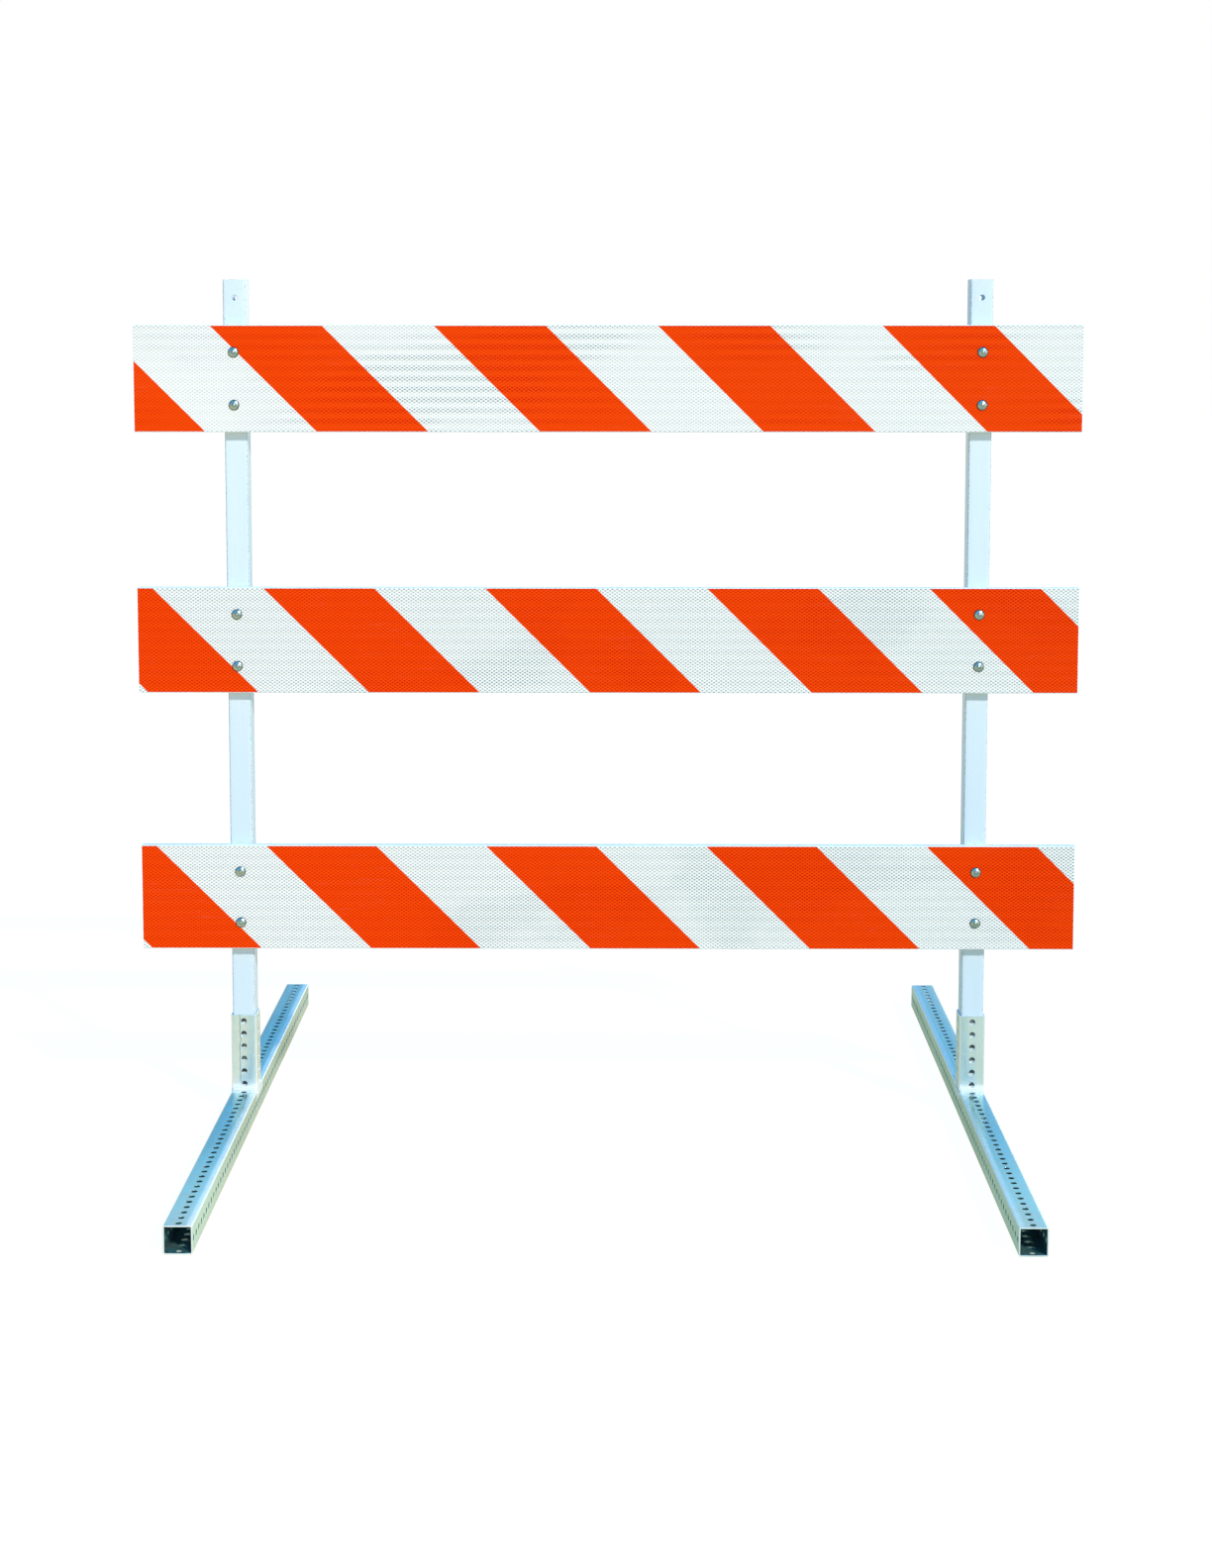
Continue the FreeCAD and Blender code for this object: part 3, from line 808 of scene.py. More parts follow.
def add_holed_wall(shell, tube, turn, low, high, centre, radius):
    """One wall of a stretch, with a round hole through it."""
    ring, angles = square_ring()
    flat = tube["side"] / 2 - tube["corner"]
    reach = tube["side"] / 2

    def loop(across, height, depth):
        x, y = quarter_turns(np.full(len(across), reach - depth), across, turn)
        return np.stack([x, y, height], axis=1)

    border = ring[:, 0] * flat, low + (ring[:, 1] + 1) / 2 * (high - low)
    rows = [loop(*border, 0.0)]
    marks = [0.0]
    for ring_radius, depth, wear in hole_rings(tube, radius):
        circle = ring_radius * np.cos(angles), centre + ring_radius * np.sin(angles)
        rows.append(loop(*circle, depth))
        marks.append(wear)
    rows.append(loop(*border, tube["wall"]))
    coated = tube["coated_rings"]
    outer_marks = np.array(marks[:coated])[:, None]
    add_grid(shell, np.array(rows[:coated]), outer_marks, wrap=True, finish=OUTSIDE)
    add_grid(shell, np.array(rows[coated - 1 :]), wrap=True, finish=INSIDE)


print("a hole's rim is rolled over", round(RIM_ROLL / MM, 2), "mm")


# %% Stretches, ends and whole tubes
def add_stretch(shell, tube, low, high, hole=None):
    """One stretch of tube. A hole has a centre, a radius and the walls that it goes through."""
    heights = np.linspace(low, high, WALL_STEPS + 1 if hole else 2)
    corner_wear = 0.8 * np.sin(np.linspace(0, math.pi, CORNER_STEPS + 1))
    for turn in range(4):
        for inset, finish in ((0.0, OUTSIDE), (tube["wall"], INSIDE)):
            wall, corner = wall_and_corner(tube, inset)
            add_grid(shell, stand(corner, heights, turn), corner_wear, finish=finish)
            if not hole or turn not in hole["walls"]:
                add_grid(shell, stand(wall, heights, turn), finish=finish)
        if hole and turn in hole["walls"]:
            add_holed_wall(shell, tube, turn, low, high, hole["centre"], hole["radius"])


def add_tube_end(shell, tube, height, inward):
    """The sawn end of a tube, with its two edges taken off."""
    rings = [(0.0, DEBURR), (DEBURR, 0.0), (tube["wall"] - DEBURR, 0.0), (tube["wall"], DEBURR)]
    rows = []
    for inset, depth in rings:
        wall, corner = wall_and_corner(tube, inset)
        outline = wall + corner[1:-1]
        quarters = [stand(outline, [height + inward * depth], turn)[0] for turn in range(4)]
        rows.append(np.concatenate(quarters))
    add_grid(shell, np.array(rows), np.array([0.5, 1.0, 1.0, 0.5])[:, None], wrap=True)


def add_tube(shell, tube, length, holes, reach):
    """A whole tube standing on the origin. Each hole takes reach above and below its centre."""
    done = DEBURR
    for hole in sorted(holes, key=lambda one: one["centre"]):
        low = hole["centre"] - reach
        if low > done + MERGE_DISTANCE:
            add_stretch(shell, tube, done, low)
            done = low
        high = min(hole["centre"] + reach, length - DEBURR)
        add_stretch(shell, tube, done, high, hole)
        done = high
    if done < length - DEBURR - MERGE_DISTANCE:
        add_stretch(shell, tube, done, length - DEBURR)
    add_tube_end(shell, tube, 0.0, 1)
    add_tube_end(shell, tube, length, -1)


print("a tube's ends are deburred by", round(DEBURR / MM, 2), "mm")

# %% [markdown]
# ## Feet and sockets
# Both are two-inch tube punched with a 7/16 inch hole every inch through all four walls. A foot lies on the
# ground along Y, and a socket stands on its middle. The socket's holes are coated further in than the
# foot's, so their walls look pale against the dark post behind them.

# %% Make the feet and sockets
PERFORATION = {"radius": 7 / 32 * INCH, "walls": ALL_WALLS}
foot_low, foot_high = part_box("left_foot_tube")
FOOT_TUBE = {"side": foot_high.z - foot_low.z, "wall": 0.105 * INCH, "corner": 4 * MM, "coated_rings": 5}
SOCKET_TUBE = dict(FOOT_TUBE, coated_rings=7)


def perforations(length):
    """A hole in the middle of every inch."""
    count = round(length / HOLE_PITCH)
    return [dict(PERFORATION, centre=(index + 0.5) * HOLE_PITCH) for index in range(count)]


def perforated_piece(name, node, tube, finishes, turn):
    """A perforated tube in the place of a CAD node, turned to lie the way it does."""
    low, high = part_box(node)
    length = max(high - low)
    shell = new_shell()
    add_tube(shell, tube, length, perforations(length), HOLE_PITCH / 2)
    middle = Matrix.Translation((low + high) / 2)
    return make_piece(name, shell, finishes, middle @ turn @ Matrix.Translation((0, 0, -length / 2)))


upright_way = Matrix.Identity(4)
lying_way = Matrix.Rotation(math.radians(-90), 4, "X")
for side in ("left", "right"):
    node = f"{side}_foot_tube"
    finishes = [foot_steel, shaded_tube_bore]
    foot = perforated_piece(f"{side}_perforated_foot", node, FOOT_TUBE, finishes, lying_way)
    fasten(foot, f"{side}_foot", node)
    node = f"{side}_foot_socket"
    finishes = [socket_steel, shaded_tube_bore]
    socket = perforated_piece(f"{side}_socket", node, SOCKET_TUBE, finishes, upright_way)
    fasten(socket, f"{side}_foot", node)

# %% [markdown]
# ## Posts
# The posts are the next smaller tube, so they slip into the sockets. They have no row of perforations: only
# the bolt holes behind the rails and one hole near the top, where a warning light is bolted on.

# %% Make the posts
RAIL_NAMES = ("top_rail", "middle_rail", "bottom_rail")
BOLT_HEAD_RADIUS = 10.3 * MM
LIGHT_HOLE_BELOW_TOP = 1.375 * INCH
post_low, post_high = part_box("left_upright")
post_side = post_high.x - post_low.x
POST_TUBE = {"side": post_side, "wall": 0.083 * INCH, "corner": 3.5 * MM, "coated_rings": 5}


def bolt_heights(rail):
    """The heights of a rail's lower and upper bolts."""
    low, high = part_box(f"{rail}_carriage_bolts")
    return low.z + BOLT_HEAD_RADIUS, high.z - BOLT_HEAD_RADIUS


bolt_holes = [(height, 13 / 64 * INCH) for rail in RAIL_NAMES for height in bolt_heights(rail)]
light_hole = (post_high.z - LIGHT_HOLE_BELOW_TOP, 7 / 32 * INCH)
post_holes = [
    {"centre": height - post_low.z, "radius": radius, "walls": FRONT_AND_BACK}
    for height, radius in bolt_holes + [light_hole]
]
for side in ("left", "right"):
    low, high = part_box(f"{side}_upright")
    shell = new_shell()
    add_tube(shell, POST_TUBE, high.z - low.z, post_holes, HOLE_PITCH / 2)
    foot_of_post = Matrix.Translation(((low.x + high.x) / 2, (low.y + high.y) / 2, low.z))
    post = make_piece(f"{side}_post", shell, [white_paint, post_bore], foot_of_post)
    fasten(post, "rail_frame", f"{side}_upright")

# %% [markdown]
# ## Weld beads
# The welder ran a fillet across the front and back of each socket and a thinner bead along each side. A
# weld is a row of frozen pools, each lapping the last like fallen dominoes. So the bead is a quarter-round
# sweep whose size goes up and down in crescents, a little unevenly, and shrinks to about a third at its
# ends.

# %% One weld bead
RIPPLE_PITCH = 2.1 * MM
RIPPLE_DEPTH = 0.10
RIPPLE_CURVE = 0.9
BEAD_STEPS = 150
PROFILE_STEPS = 10


def add_bead(shell, start, end, out, up, leg, chance):
    """A fillet of weld from start to end, in the corner of a surface that runs out and one that runs up."""
    start, end, out, up = (np.array(value, float) for value in (start, end, out, up))
    length = np.linalg.norm(end - start)
    bends = np.linspace(0, math.pi / 2, PROFILE_STEPS)
    lag = RIPPLE_CURVE * np.sin(2 * bends)
    phases = [chance.uniform(0, math.tau) for _ in range(3)]
    rows, marks = [], []
    for share in np.linspace(0, 1, BEAD_STEPS):
        travelled = share * length
        pool = (travelled / RIPPLE_PITCH + lag) % 1.0
        uneven = 0.05 * math.sin(travelled / (7 * MM) + phases[0])
        uneven += 0.04 * math.sin(travelled / (3 * MM) + phases[1])
        taper = 0.3 + 0.7 * math.sqrt(1 - abs(2 * share - 1) ** 9)
        reach = leg * taper * (1 + uneven + RIPPLE_DEPTH * (pool**0.6 - 0.5))
        curve = start + (end - start) * share + reach[:, None] * (
            np.cos(bends)[:, None] * out + np.sin(bends)[:, None] * up
        )
        root = start + (end - start) * share - 0.4 * MM * (out + up)
        rows.append(np.vstack([curve, root]))
        marks.append(np.append(np.abs(np.cos(2 * bends)) ** 3, 0.0))
    add_grid(shell, np.array(rows), np.array(marks), wrap=True)
    for row in (rows[0], rows[-1]):
        add_grid(shell, np.array([row, np.tile(row.mean(axis=0), (len(row), 1))]), wrap=True)


print("a ripple every", round(RIPPLE_PITCH / MM, 1), "mm")

# %% Make the weld beads
FILLET_LEG = 4.6 * MM
SIDE_LEG = 2.6 * MM
for side in ("left", "right"):
    low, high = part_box(f"{side}_foot_socket")
    chance = random.Random(side)
    flat = (high.x - low.x) / 2 - 1.5 * MM
    middle = (low.x + high.x) / 2
    shell = new_shell()
    for y, way in ((low.y, -1), (high.y, 1)):
        ends = [(middle - flat, y, low.z), (middle + flat, y, low.z)]
        add_bead(shell, *ends, (0, way, 0), (0, 0, 1), FILLET_LEG, chance)
    for x, way in ((low.x, -1), (high.x, 1)):
        groove_x, groove_z = x - way * 1.1 * MM, low.z - 0.7 * MM
        ends = [(groove_x, low.y + 2 * MM, groove_z), (groove_x, high.y - 2 * MM, groove_z)]
        slant_out = Vector((way, 0, -1)).normalized()
        slant_up = Vector((way, 0, 1)).normalized()
        add_bead(shell, *ends, slant_out, slant_up, SIDE_LEG, chance)
    weld = make_piece(f"{side}_weld", shell, [weld_metal])
    fasten(weld, f"{side}_foot", f"{side}_foot_weld")

# %% [markdown]
# ## Rail boards
# A board is pushed hot through a die, so it has one outline from end to end: a thin wall round ten hollow
# cells. As it cools, the walls sink a little between the ribs. That dip is only a few tenths of a
# millimetre, but the soft bands across the rails follow it, so it is real geometry here. The ends are cut,
# and the cells between the ribs stay open.

# %% The outline of a board
CELLS = 10
SKIN = 2.2 * MM
RIB = 1.8 * MM
EDGE_RADIUS = 1.5 * MM
CELL_RADIUS = 1.0 * MM
SINK_DEPTH = 0.35 * MM
STEPS_PER_CELL = 8
board_low, board_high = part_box("top_rail_board")
board_height = board_high.z - board_low.z
cell_pitch = (board_height - 2 * SKIN + RIB) / CELLS


def sunk(above_bottom):
    """How far the wall has sunk, from 0 over a rib to 1 between two, at a height above the board's bottom."""
    turns = (np.asarray(above_bottom) - SKIN + RIB / 2) / cell_pitch
    inside = (turns > 0) & (turns < CELLS)
    return np.where(inside, 0.5 - 0.5 * np.cos(math.tau * turns), 0.0)


def wall_heights():
    """Heights up the flat of a board's wall, several to each cell."""
    return np.linspace(EDGE_RADIUS, board_height - EDGE_RADIUS, CELLS * STEPS_PER_CELL + 1)


def rounded_outline(low_y, high_y, low_z, high_z, radius, steps):
    """The corners of a rounded rectangle, as four arcs that run round it."""
    arcs = []
    centres = [(high_y, low_z, -90), (high_y, high_z, 0), (low_y, high_z, 90), (low_y, low_z, 180)]
    for y, z, first in centres:
        y += radius if y == low_y else -radius
        z += radius if z == low_z else -radius
        turns = np.radians(np.linspace(first, first + 90, steps))
        arcs.append(np.stack([y + radius * np.cos(turns), z + radius * np.sin(turns)], axis=1))
    return arcs


def board_outline(low, high):
    """The outer outline of a board in YZ, with its sunk walls, and how far each point has sunk."""
    arcs = rounded_outline(low.y, high.y, low.z, high.z, EDGE_RADIUS, 5)
    heights = wall_heights()
    dips = sunk(heights)
    back = np.stack([high.y - SINK_DEPTH * dips, low.z + heights], axis=1)
    front = np.stack([low.y + SINK_DEPTH * dips, low.z + heights], axis=1)[::-1]
    outline = np.vstack([arcs[0][:-1], back[1:-1], arcs[1], arcs[2][:-1], front[1:-1], arcs[3]])
    marks = np.concatenate([np.zeros(4), dips[1:-1], np.zeros(9), dips[::-1][1:-1], np.zeros(5)])
    return outline, marks


def along_rail(outline, low_x, high_x):
    """An outline in YZ drawn out along X."""
    ends = [np.column_stack([np.full(len(outline), x), outline]) for x in (low_x, high_x)]
    return np.array(ends)


print("a board has", CELLS, "cells,", round(cell_pitch / MM, 1), "mm apart")

# %% Make the boards
for rail in RAIL_NAMES:
    low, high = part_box(f"{rail}_board")
    shell = new_shell()
    outline, marks = board_outline(low, high)
    add_grid(shell, along_rail(outline, low.x, high.x), marks, wrap=True)
    for cell in range(CELLS):
        floor_z = low.z + SKIN + cell * cell_pitch
        corners = (low.y + SKIN, high.y - SKIN, floor_z, floor_z + cell_pitch - RIB)
        outline = np.vstack(rounded_outline(*corners, CELL_RADIUS, 4))
        add_grid(shell, along_rail(outline, low.x, high.x), wrap=True)
    board = make_piece(f"{rail}_plank", shell, [board_face, board_end], mark="sunk", end_finish=1)
    fasten(board, "rail_frame", f"{rail}_board")

# %% [markdown]
# ## Film panels
# The stripes are six inches wide, measured square across, and slant at 45 degrees. Each is a panel of film
# laid on the board, so it follows the sunk wall. A panel is built in rows from bottom to top: each row is a
# strip that starts and ends where the slant crosses that height, cut short by the ends of the rail.

# %% One film panel
STRIPE = 6 * INCH * math.sqrt(2)
ORANGE_START = {"top_rail": 5.87 * INCH, "middle_rail": 9.68 * INCH, "bottom_rail": 9.68 * INCH}


def panel_rows(start, low, high):
    """Heights of a panel's rows, and where each row starts and ends along X."""
    kinks = [high.z + edge - end for edge in (start, start + STRIPE) for end in (low.x, high.x)]
    kinks = [kink for kink in kinks if low.z < kink < high.z]
    heights = np.unique(np.round(np.concatenate([film_heights(low, high), kinks]), 7))
    left = np.clip(start + high.z - heights, low.x, high.x)
    right = np.clip(start + STRIPE + high.z - heights, low.x, high.x)
    shown = np.flatnonzero(right - left > MERGE_DISTANCE)
    if len(shown) == 0:
        return heights[:0], left[:0], right[:0]
    kept = slice(max(shown[0] - 1, 0), shown[-1] + 2)
    return heights[kept], left[kept], right[kept]


def board_bottom(low, high):
    """The height of the bottom of the board that a film lies on."""
    return (low.z + high.z - board_height) / 2


def film_heights(low, high):
    """Row heights that follow the board's wall, inside the film's own edges."""
    heights = board_bottom(low, high) + wall_heights()
    inside = (heights > low.z) & (heights < high.z)
    return np.concatenate([[low.z], heights[inside], [high.z]])


def add_panel(shell, start, low, high):
    """One slanting panel, with a front, a back and cut edges."""
    heights, left, right = panel_rows(start, low, high)
    if len(heights) < 2:
        return
    dips = sunk(heights - board_bottom(low, high))
    front = low.y + SINK_DEPTH * dips
    back = high.y + SINK_DEPTH * dips
    corners = [(left, front), (right, front), (right, back), (left, back)]
    grid = np.stack([np.stack([x, y, heights], axis=1) for x, y in corners], axis=1)
    add_grid(shell, grid, dips[:, None], wrap=True)
    for row, dip in ((grid[0], dips[0]), (grid[-1], dips[-1])):
        add_grid(shell, row[[0, 1, 3, 2]].reshape(2, 2, 3), dip)


print("a stripe is", round(STRIPE / INCH, 2), "inches along the rail")

# %% Make the film panels
FILM_MARGIN = 1 * MM
MORE_THAN_ENOUGH = range(-3, 6)  # pairs of stripes, and those off the rail come out empty
for rail in RAIL_NAMES:
    for colour, film, shift in (("orange", orange_film, 0), ("white", white_film, 1)):
        low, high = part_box(f"{rail}_{colour}_sheeting")
        low.x, high.x = board_low.x + FILM_MARGIN, board_high.x - FILM_MARGIN
        shell = new_shell()
        for pair in MORE_THAN_ENOUGH:
            start = board_low.x + ORANGE_START[rail] + (2 * pair + shift) * STRIPE
            add_panel(shell, start, low, high)
        sheet = make_piece(f"{rail}_{colour}_film", shell, [film], mark="sunk")
        fasten(sheet, "rail_frame", f"{rail}_{colour}_sheeting")

# %% [markdown]
# ## Carriage bolts
# A carriage bolt has a smooth round head with nothing to grip, and a square neck under it that stops it
# turning in its hole. The head is turned like work on a lathe: a profile spun round the bolt's axis. The
# neck is the same with only four steps. The thread is a lathe grid too, but each point's radius depends on
# how far up the helix it lies.

# %% A bolt's head
HEAD_HEIGHT = 5 * MM
CROWN_HEIGHT = HEAD_HEIGHT - 0.7 * MM
CROWN_RING = 3.1 * MM
LATHE_STEPS = 48


def add_lathe(shell, place, profile, marks=0.0, steps=LATHE_STEPS, turn=0.0):
    """Spins a profile of (radius, depth) round an axis through place along +Y."""
    angles = turn + np.arange(steps) * math.tau / steps
    rows = []
    for radius, depth in profile:
        radius = radius(angles) if callable(radius) else radius
        rows.append(np.stack([
            place[0] + radius * np.cos(angles),
            place[1] + depth + 0 * angles,
            place[2] + radius * np.sin(angles),
        ], axis=1))
    marks = np.reshape(marks, (-1, 1)) if np.ndim(marks) else marks
    add_grid(shell, np.array(rows), marks, wrap=True)


def head_profile():
    """The domed head, from its middle to its underside, with a shallow ring pressed into the crown."""
    ball = (BOLT_HEAD_RADIUS**2 + CROWN_HEIGHT**2) / (2 * CROWN_HEIGHT)
    profile = []
    for share in np.linspace(0, 1, 22):
        radius = share * (BOLT_HEAD_RADIUS - 0.25 * MM)
        dome = math.sqrt(ball**2 - radius**2) - (ball - HEAD_HEIGHT)
        ring = 0.45 * MM * math.exp(-(((radius - CROWN_RING) / (0.8 * MM)) ** 2))
        profile.append((radius, -dome + ring))
    profile += [(BOLT_HEAD_RADIUS, -0.45 * MM), (BOLT_HEAD_RADIUS - 0.2 * MM, 0.0), (0.0, 0.0)]
    return profile


def head_wear_and_shade(radius):
    """Painted shade and grime in the crown's ring and round the rim, and rubbed metal between them."""
    ring = math.exp(-(((radius - CROWN_RING) / (0.9 * MM)) ** 2))
    rim = min(1.0, max(0.0, (radius - 8.0 * MM) / (1.3 * MM)))
    return 0.3 - 1.0 * ring - 1.3 * rim


print("a head is", round(2 * BOLT_HEAD_RADIUS / MM, 1), "mm across,", round(HEAD_HEIGHT / MM, 1), "mm high")

# %% A bolt's neck and shank
NECK_SIDE = 9.8 * MM
NECK_LENGTH = 5.5 * MM
SHANK_RADIUS = 3 / 16 * INCH
THREAD_PITCH = INCH / 16
THREAD_DEPTH = 0.95 * MM
THREAD_LENGTH = 26 * MM


def add_neck(shell, place):
    """The square neck under the head, with its flats upright and level."""
    corner = NECK_SIDE / math.sqrt(2)
    shoulder = NECK_LENGTH - 1 * MM
    profile = [(0, -0.3 * MM), (corner, -0.3 * MM), (corner, shoulder)]
    profile += [(0.75 * corner, NECK_LENGTH), (0, NECK_LENGTH)]
    add_lathe(shell, place, profile, steps=4, turn=math.pi / 4)


def add_shank(shell, place, length):
    """The plain shank and the rolled thread at its end."""
    plain = length - THREAD_LENGTH
    rolled = SHANK_RADIUS - 0.3 * MM
    profile = [(0, NECK_LENGTH - 1 * MM), (rolled, NECK_LENGTH - 1 * MM), (rolled, plain)]
    for depth in np.arange(plain, length, THREAD_PITCH / 6):
        left = min(1.0, (length - depth) / (1.2 * MM))

        def radius(angles, depth=depth, left=left):
            phase = (depth / THREAD_PITCH - angles / math.tau) % 1.0
            groove = np.clip(1.25 * (1 - 2 * np.abs(phase - 0.5)) - 0.1, 0.0, 1.0)
            return SHANK_RADIUS - THREAD_DEPTH * np.maximum(groove, 1 - left)

        profile.append((radius, depth))
    profile += [(SHANK_RADIUS - THREAD_DEPTH, length), (0, length)]
    add_lathe(shell, place, profile, steps=28)


print("the thread rises", round(THREAD_PITCH / MM, 2), "mm a turn")


# %% Make the bolts
def bolt_places(rail):
    """Where a rail's four bolts cross the face of the film, as (x, y, z)."""
    low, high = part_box(f"{rail}_carriage_bolts")
    face = low.y + HEAD_HEIGHT
    across = (low.x + BOLT_HEAD_RADIUS, high.x - BOLT_HEAD_RADIUS)
    return [(x, face, z) for x in across for z in bolt_heights(rail)]


for rail in RAIL_NAMES:
    low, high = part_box(f"{rail}_carriage_bolts")
    chance = random.Random(rail)
    shell = new_shell()
    for place in bolt_places(rail):
        turn = chance.uniform(0, math.tau)
        profile = head_profile()
        wear = [head_wear_and_shade(radius) for radius, _ in profile]
        add_lathe(shell, place, profile, wear, turn=turn)
        add_neck(shell, place)
        add_shank(shell, place, high.y - low.y - HEAD_HEIGHT)
    bolts = make_piece(f"{rail}_bolts", shell, [zinc_plate])
    fasten(bolts, "rail_frame", f"{rail}_carriage_bolts")

# %% [markdown]
# ## Washers and nuts
# Behind each post a flat washer spreads the load and a hex nut holds it. A washer is punched from sheet, so
# one edge is rolled and the other is sharp. A nut's corners are cut by a cone, which leaves a curved edge
# on each flat: here the outline's radius follows the hexagon, and the cone lowers the top where that radius
# is large.

# %% One nut and one washer
WASHER_HOLE = 5.15 * MM
NUT_FLATS = 9 / 16 * INCH
NUT_STEPS = 72
NUT_LEAD_IN = 0.6 * MM
CONE = math.tan(math.radians(30))


def hexagon(angles, turn):
    """The radius of a hexagon at each angle."""
    return NUT_FLATS / 2 / np.cos((angles - turn) % (math.pi / 3) - math.pi / 6)


def add_nut(shell, place, height, turn):
    """A hex nut from its washer face to its top, with both rings of corners taken off by a cone."""
    angles = np.arange(NUT_STEPS) * math.tau / NUT_STEPS
    outline = hexagon(angles, turn)
    cut = np.maximum(outline - 0.49 * NUT_FLATS, 0.0) * CONE
    bore = SHANK_RADIUS - 0.5 * THREAD_DEPTH
    even = np.ones(NUT_STEPS)
    rings = [
        (bore * even, NUT_LEAD_IN * even, 0.0),
        (bore * even + NUT_LEAD_IN, 0.0 * even, 0.2),
        (0.47 * NUT_FLATS * even, 0.0 * even, 0.5),
        (outline, cut, 0.9),
        (outline, height - cut, 0.9),
        (0.47 * NUT_FLATS * even, height * even, 0.5),
        (bore * even + NUT_LEAD_IN, height * even, 0.2),
        (bore * even, height - NUT_LEAD_IN * even, 0.0),
    ]
    rows = [
        np.stack([place[0] + r * np.cos(angles), place[1] + depth, place[2] + r * np.sin(angles)], axis=1)
        for r, depth, _ in rings
    ]
    marks = np.array([mark for *_, mark in rings] + [0.0])
    add_grid(shell, np.array(rows + rows[:1]), marks[:, None], wrap=True)


def add_washer(shell, place, radius, thickness):
    """A flat washer with one rolled edge."""
    roll = 0.35 * MM
    profile = [
        (WASHER_HOLE, 0.0), (radius - 0.1 * MM, 0.0), (radius, 0.1 * MM), (radius, thickness - roll),
        (radius - 0.3 * roll, thickness - 0.3 * roll), (radius - roll, thickness),
        (WASHER_HOLE + 0.1 * MM, thickness), (WASHER_HOLE, thickness - 0.1 * MM), (WASHER_HOLE, 0.0),
    ]
    add_lathe(shell, place, profile, [0.0, 0.4, 0.6, 0.6, 0.8, 0.3, 0.5, 0.2, 0.0], steps=64)


print("a nut is", round(NUT_FLATS / MM, 1), "mm across its flats")

# %% Make the washers and nuts
BOLT_SPACING = 4 * INCH
for rail in RAIL_NAMES:
    chance = random.Random(rail + " nuts")
    washer_low, washer_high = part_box(f"{rail}_flat_washers")
    nut_low, nut_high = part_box(f"{rail}_hex_nuts")
    washer_radius = (washer_high.z - washer_low.z - BOLT_SPACING) / 2
    washers, nuts = new_shell(), new_shell()
    for x, _, z in bolt_places(rail):
        add_washer(washers, (x, washer_low.y, z), washer_radius, washer_high.y - washer_low.y)
        add_nut(nuts, (x, nut_low.y, z), nut_high.y - nut_low.y, chance.uniform(0, math.pi / 3))
    piece = make_piece(f"{rail}_washers", washers, [zinc_plate])
    fasten(piece, "rail_frame", f"{rail}_flat_washers")
    piece = make_piece(f"{rail}_nuts", nuts, [zinc_plate])
    fasten(piece, "rail_frame", f"{rail}_hex_nuts")

# %% [markdown]
# ## Floor
# The barricade stands on a plain white floor that runs into a white background. Most of the white that the
# camera sees is the floor's own glow, like the lit sweep of a studio, so shadows on it stay faint. Under
# the feet its glow is painted dark, a painted shadow, or it would shine up through their holes. Steel that
# mirrored so white a floor would look chalky, so rays that bounce off the barricade meet a duller, greener
# ground, a little warmer and brighter on the left: the Light Path node tells the two kinds of ray apart.

# %% Floor
FLOOR_REACH = 40
floor_shell = new_shell()
corners = [[(x, y, 0.0) for x in (-FLOOR_REACH, FLOOR_REACH)] for y in (-FLOOR_REACH, FLOOR_REACH)]
add_grid(floor_shell, np.array(corners))
floor_paint, tree, shader = new_material("lit studio floor", Specular_IOR_Level=0.0, Emission_Strength=1.0)
speckle = noise(tree, object_place(tree), 6.0)
plug(tree, shader["Base Color"], blend(tree, speckle, (0.140, 0.134, 0.128, 1), (0.150, 0.144, 0.138, 1)))
plug(tree, shader["Roughness"], fade(tree, speckle, 0.3, 0.7, 0.8, 0.9))
glow = blend(tree, speckle, (0.94, 0.93, 0.92, 1), (0.95, 0.94, 0.93, 1))
parts = split(tree, object_place(tree))
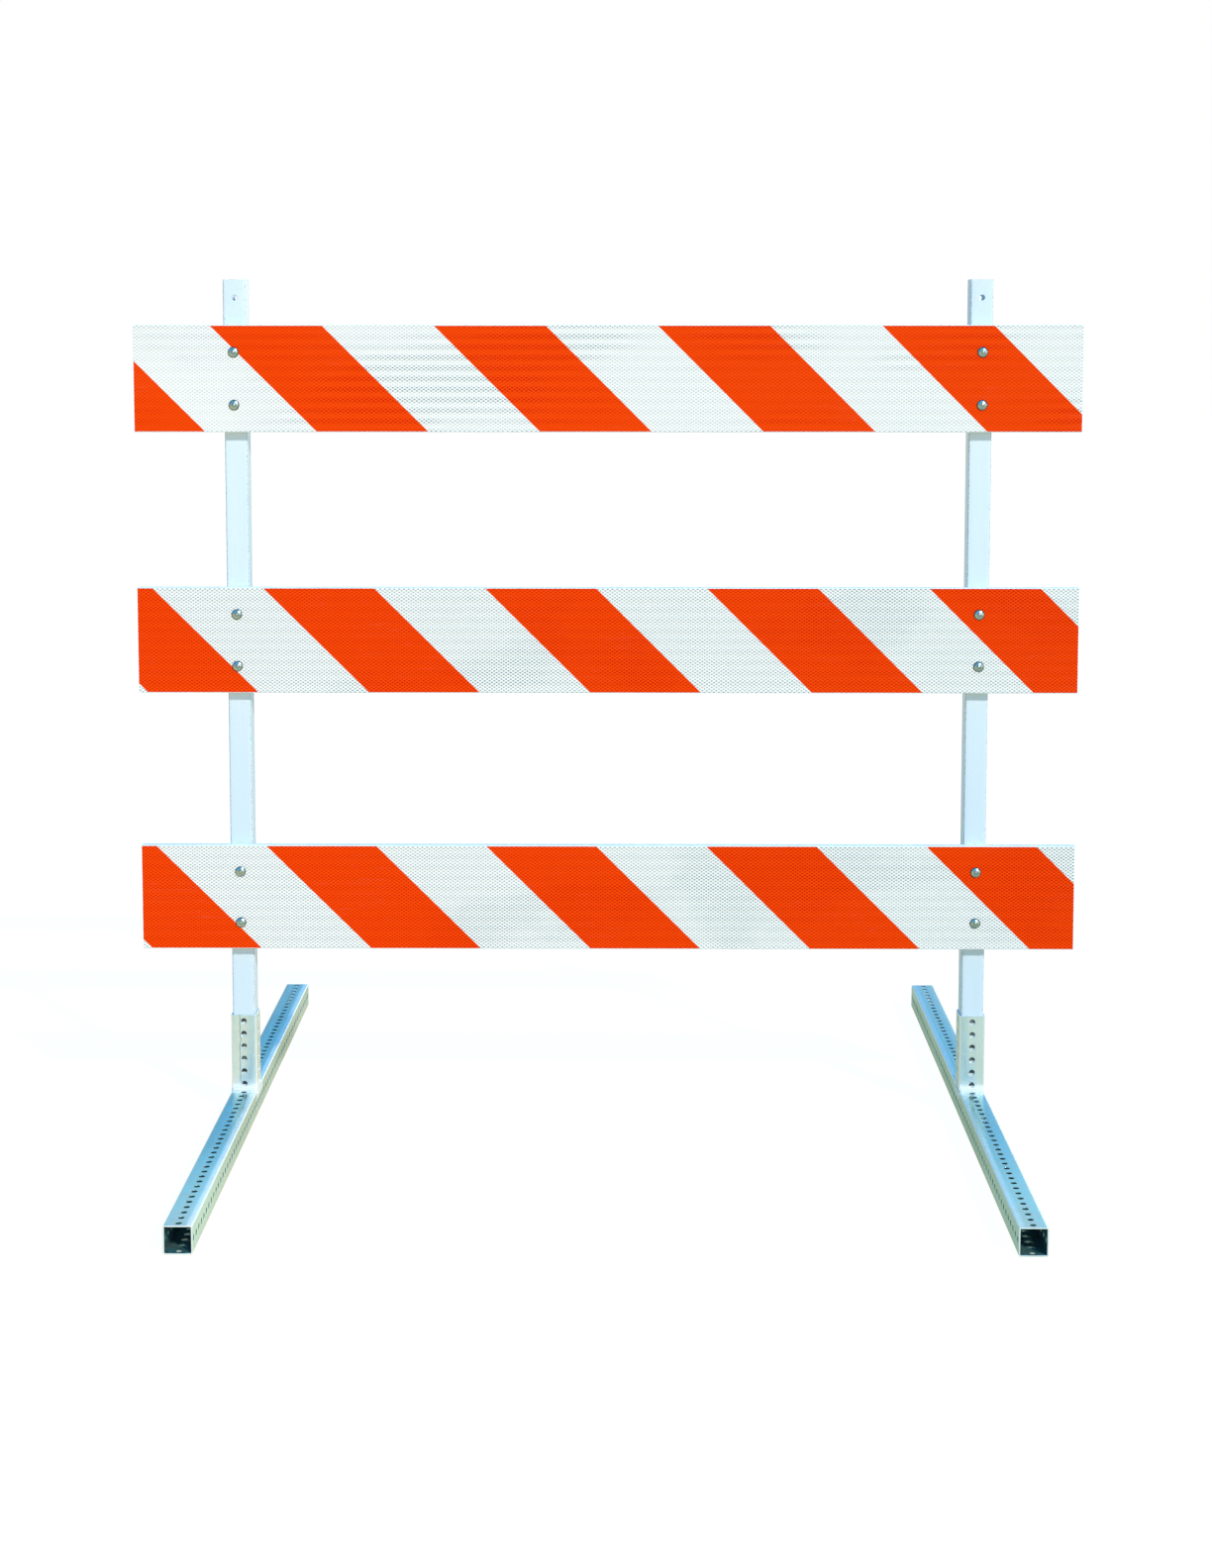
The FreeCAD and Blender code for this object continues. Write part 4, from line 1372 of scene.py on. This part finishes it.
# Painted shadow: the floor's glow is darkened beneath each foot.
off_foot = calculate(tree, "SUBTRACT", calculate(tree, "ABSOLUTE", parts["X"]), post_centre_x)
beneath = fade(tree, calculate(tree, "ABSOLUTE", off_foot), 18 * MM, 23 * MM, 1.0, 0.0)
lengthways = calculate(tree, "ABSOLUTE", parts["Y"])
short_of_end = fade(tree, lengthways, foot_high.y - 30 * MM, foot_high.y, 1.0, 0.0)
painted_shadow_under_feet = calculate(tree, "MULTIPLY", beneath, short_of_end)
glow = blend(tree, painted_shadow_under_feet, glow, (0.05, 0.11, 0.12, 1))
seen = add_node(tree, "ShaderNodeLightPath").outputs["Is Camera Ray"]
rightward = fade(tree, parts["X"], -0.75, 0.75)
bounced = blend(tree, rightward, (0.62, 0.58, 0.38, 1), (0.38, 0.44, 0.29, 1))
plug(tree, shader["Emission Color"], blend(tree, seen, bounced, glow))
floor = make_piece("studio_floor", floor_shell, [floor_paint])

# %% [markdown]
# ## Light
# One soft sun stands high in front and to the right, and gives the bolts their shadows. The rest is sky: a
# low haze that is brighter on the sun's side, and clear blue above it, which gives galvanised steel its
# colour outdoors. The camera sees the background as white.

# %% Light
SUN_TOWARDS = Vector((-0.48, 0.65, -0.60))
sun_data = bpy.data.lights.new("soft_sun", "SUN")
sun_data.energy = 2.58
sun_data.angle = math.radians(4)
sun_data.color = (1.0, 0.985, 0.95)
sun = bpy.data.objects.new("soft_sun", sun_data)
sun.rotation_euler = SUN_TOWARDS.to_track_quat("-Z", "Y").to_euler()
bpy.context.scene.collection.objects.link(sun)

world = bpy.data.worlds.new("soft_sky")
world.use_nodes = True
bpy.context.scene.world = world
tree = world.node_tree
direction = add_node(tree, "ShaderNodeTexCoord").outputs["Generated"]
parts = split(tree, direction)
sunward = fade(tree, parts["X"], -0.1, 0.35)
haze = blend(tree, sunward, (0.46, 0.52, 0.52, 1), (1.50, 1.53, 1.52, 1))
sky = blend(tree, fade(tree, parts["Z"], 0.17, 0.27), haze, (0.16, 0.54, 0.98, 1))
seen = add_node(tree, "ShaderNodeLightPath").outputs["Is Camera Ray"]
shown = blend(tree, seen, sky, (1.0, 1.0, 1.0, 1))
background = tree.nodes["Background"]
plug(tree, background.inputs["Color"], shown)
background.inputs["Strength"].default_value = 1.0
bpy.context.scene.view_settings.view_transform = "Standard"
print("sun from", [round(way, 2) for way in -SUN_TOWARDS.normalized()])
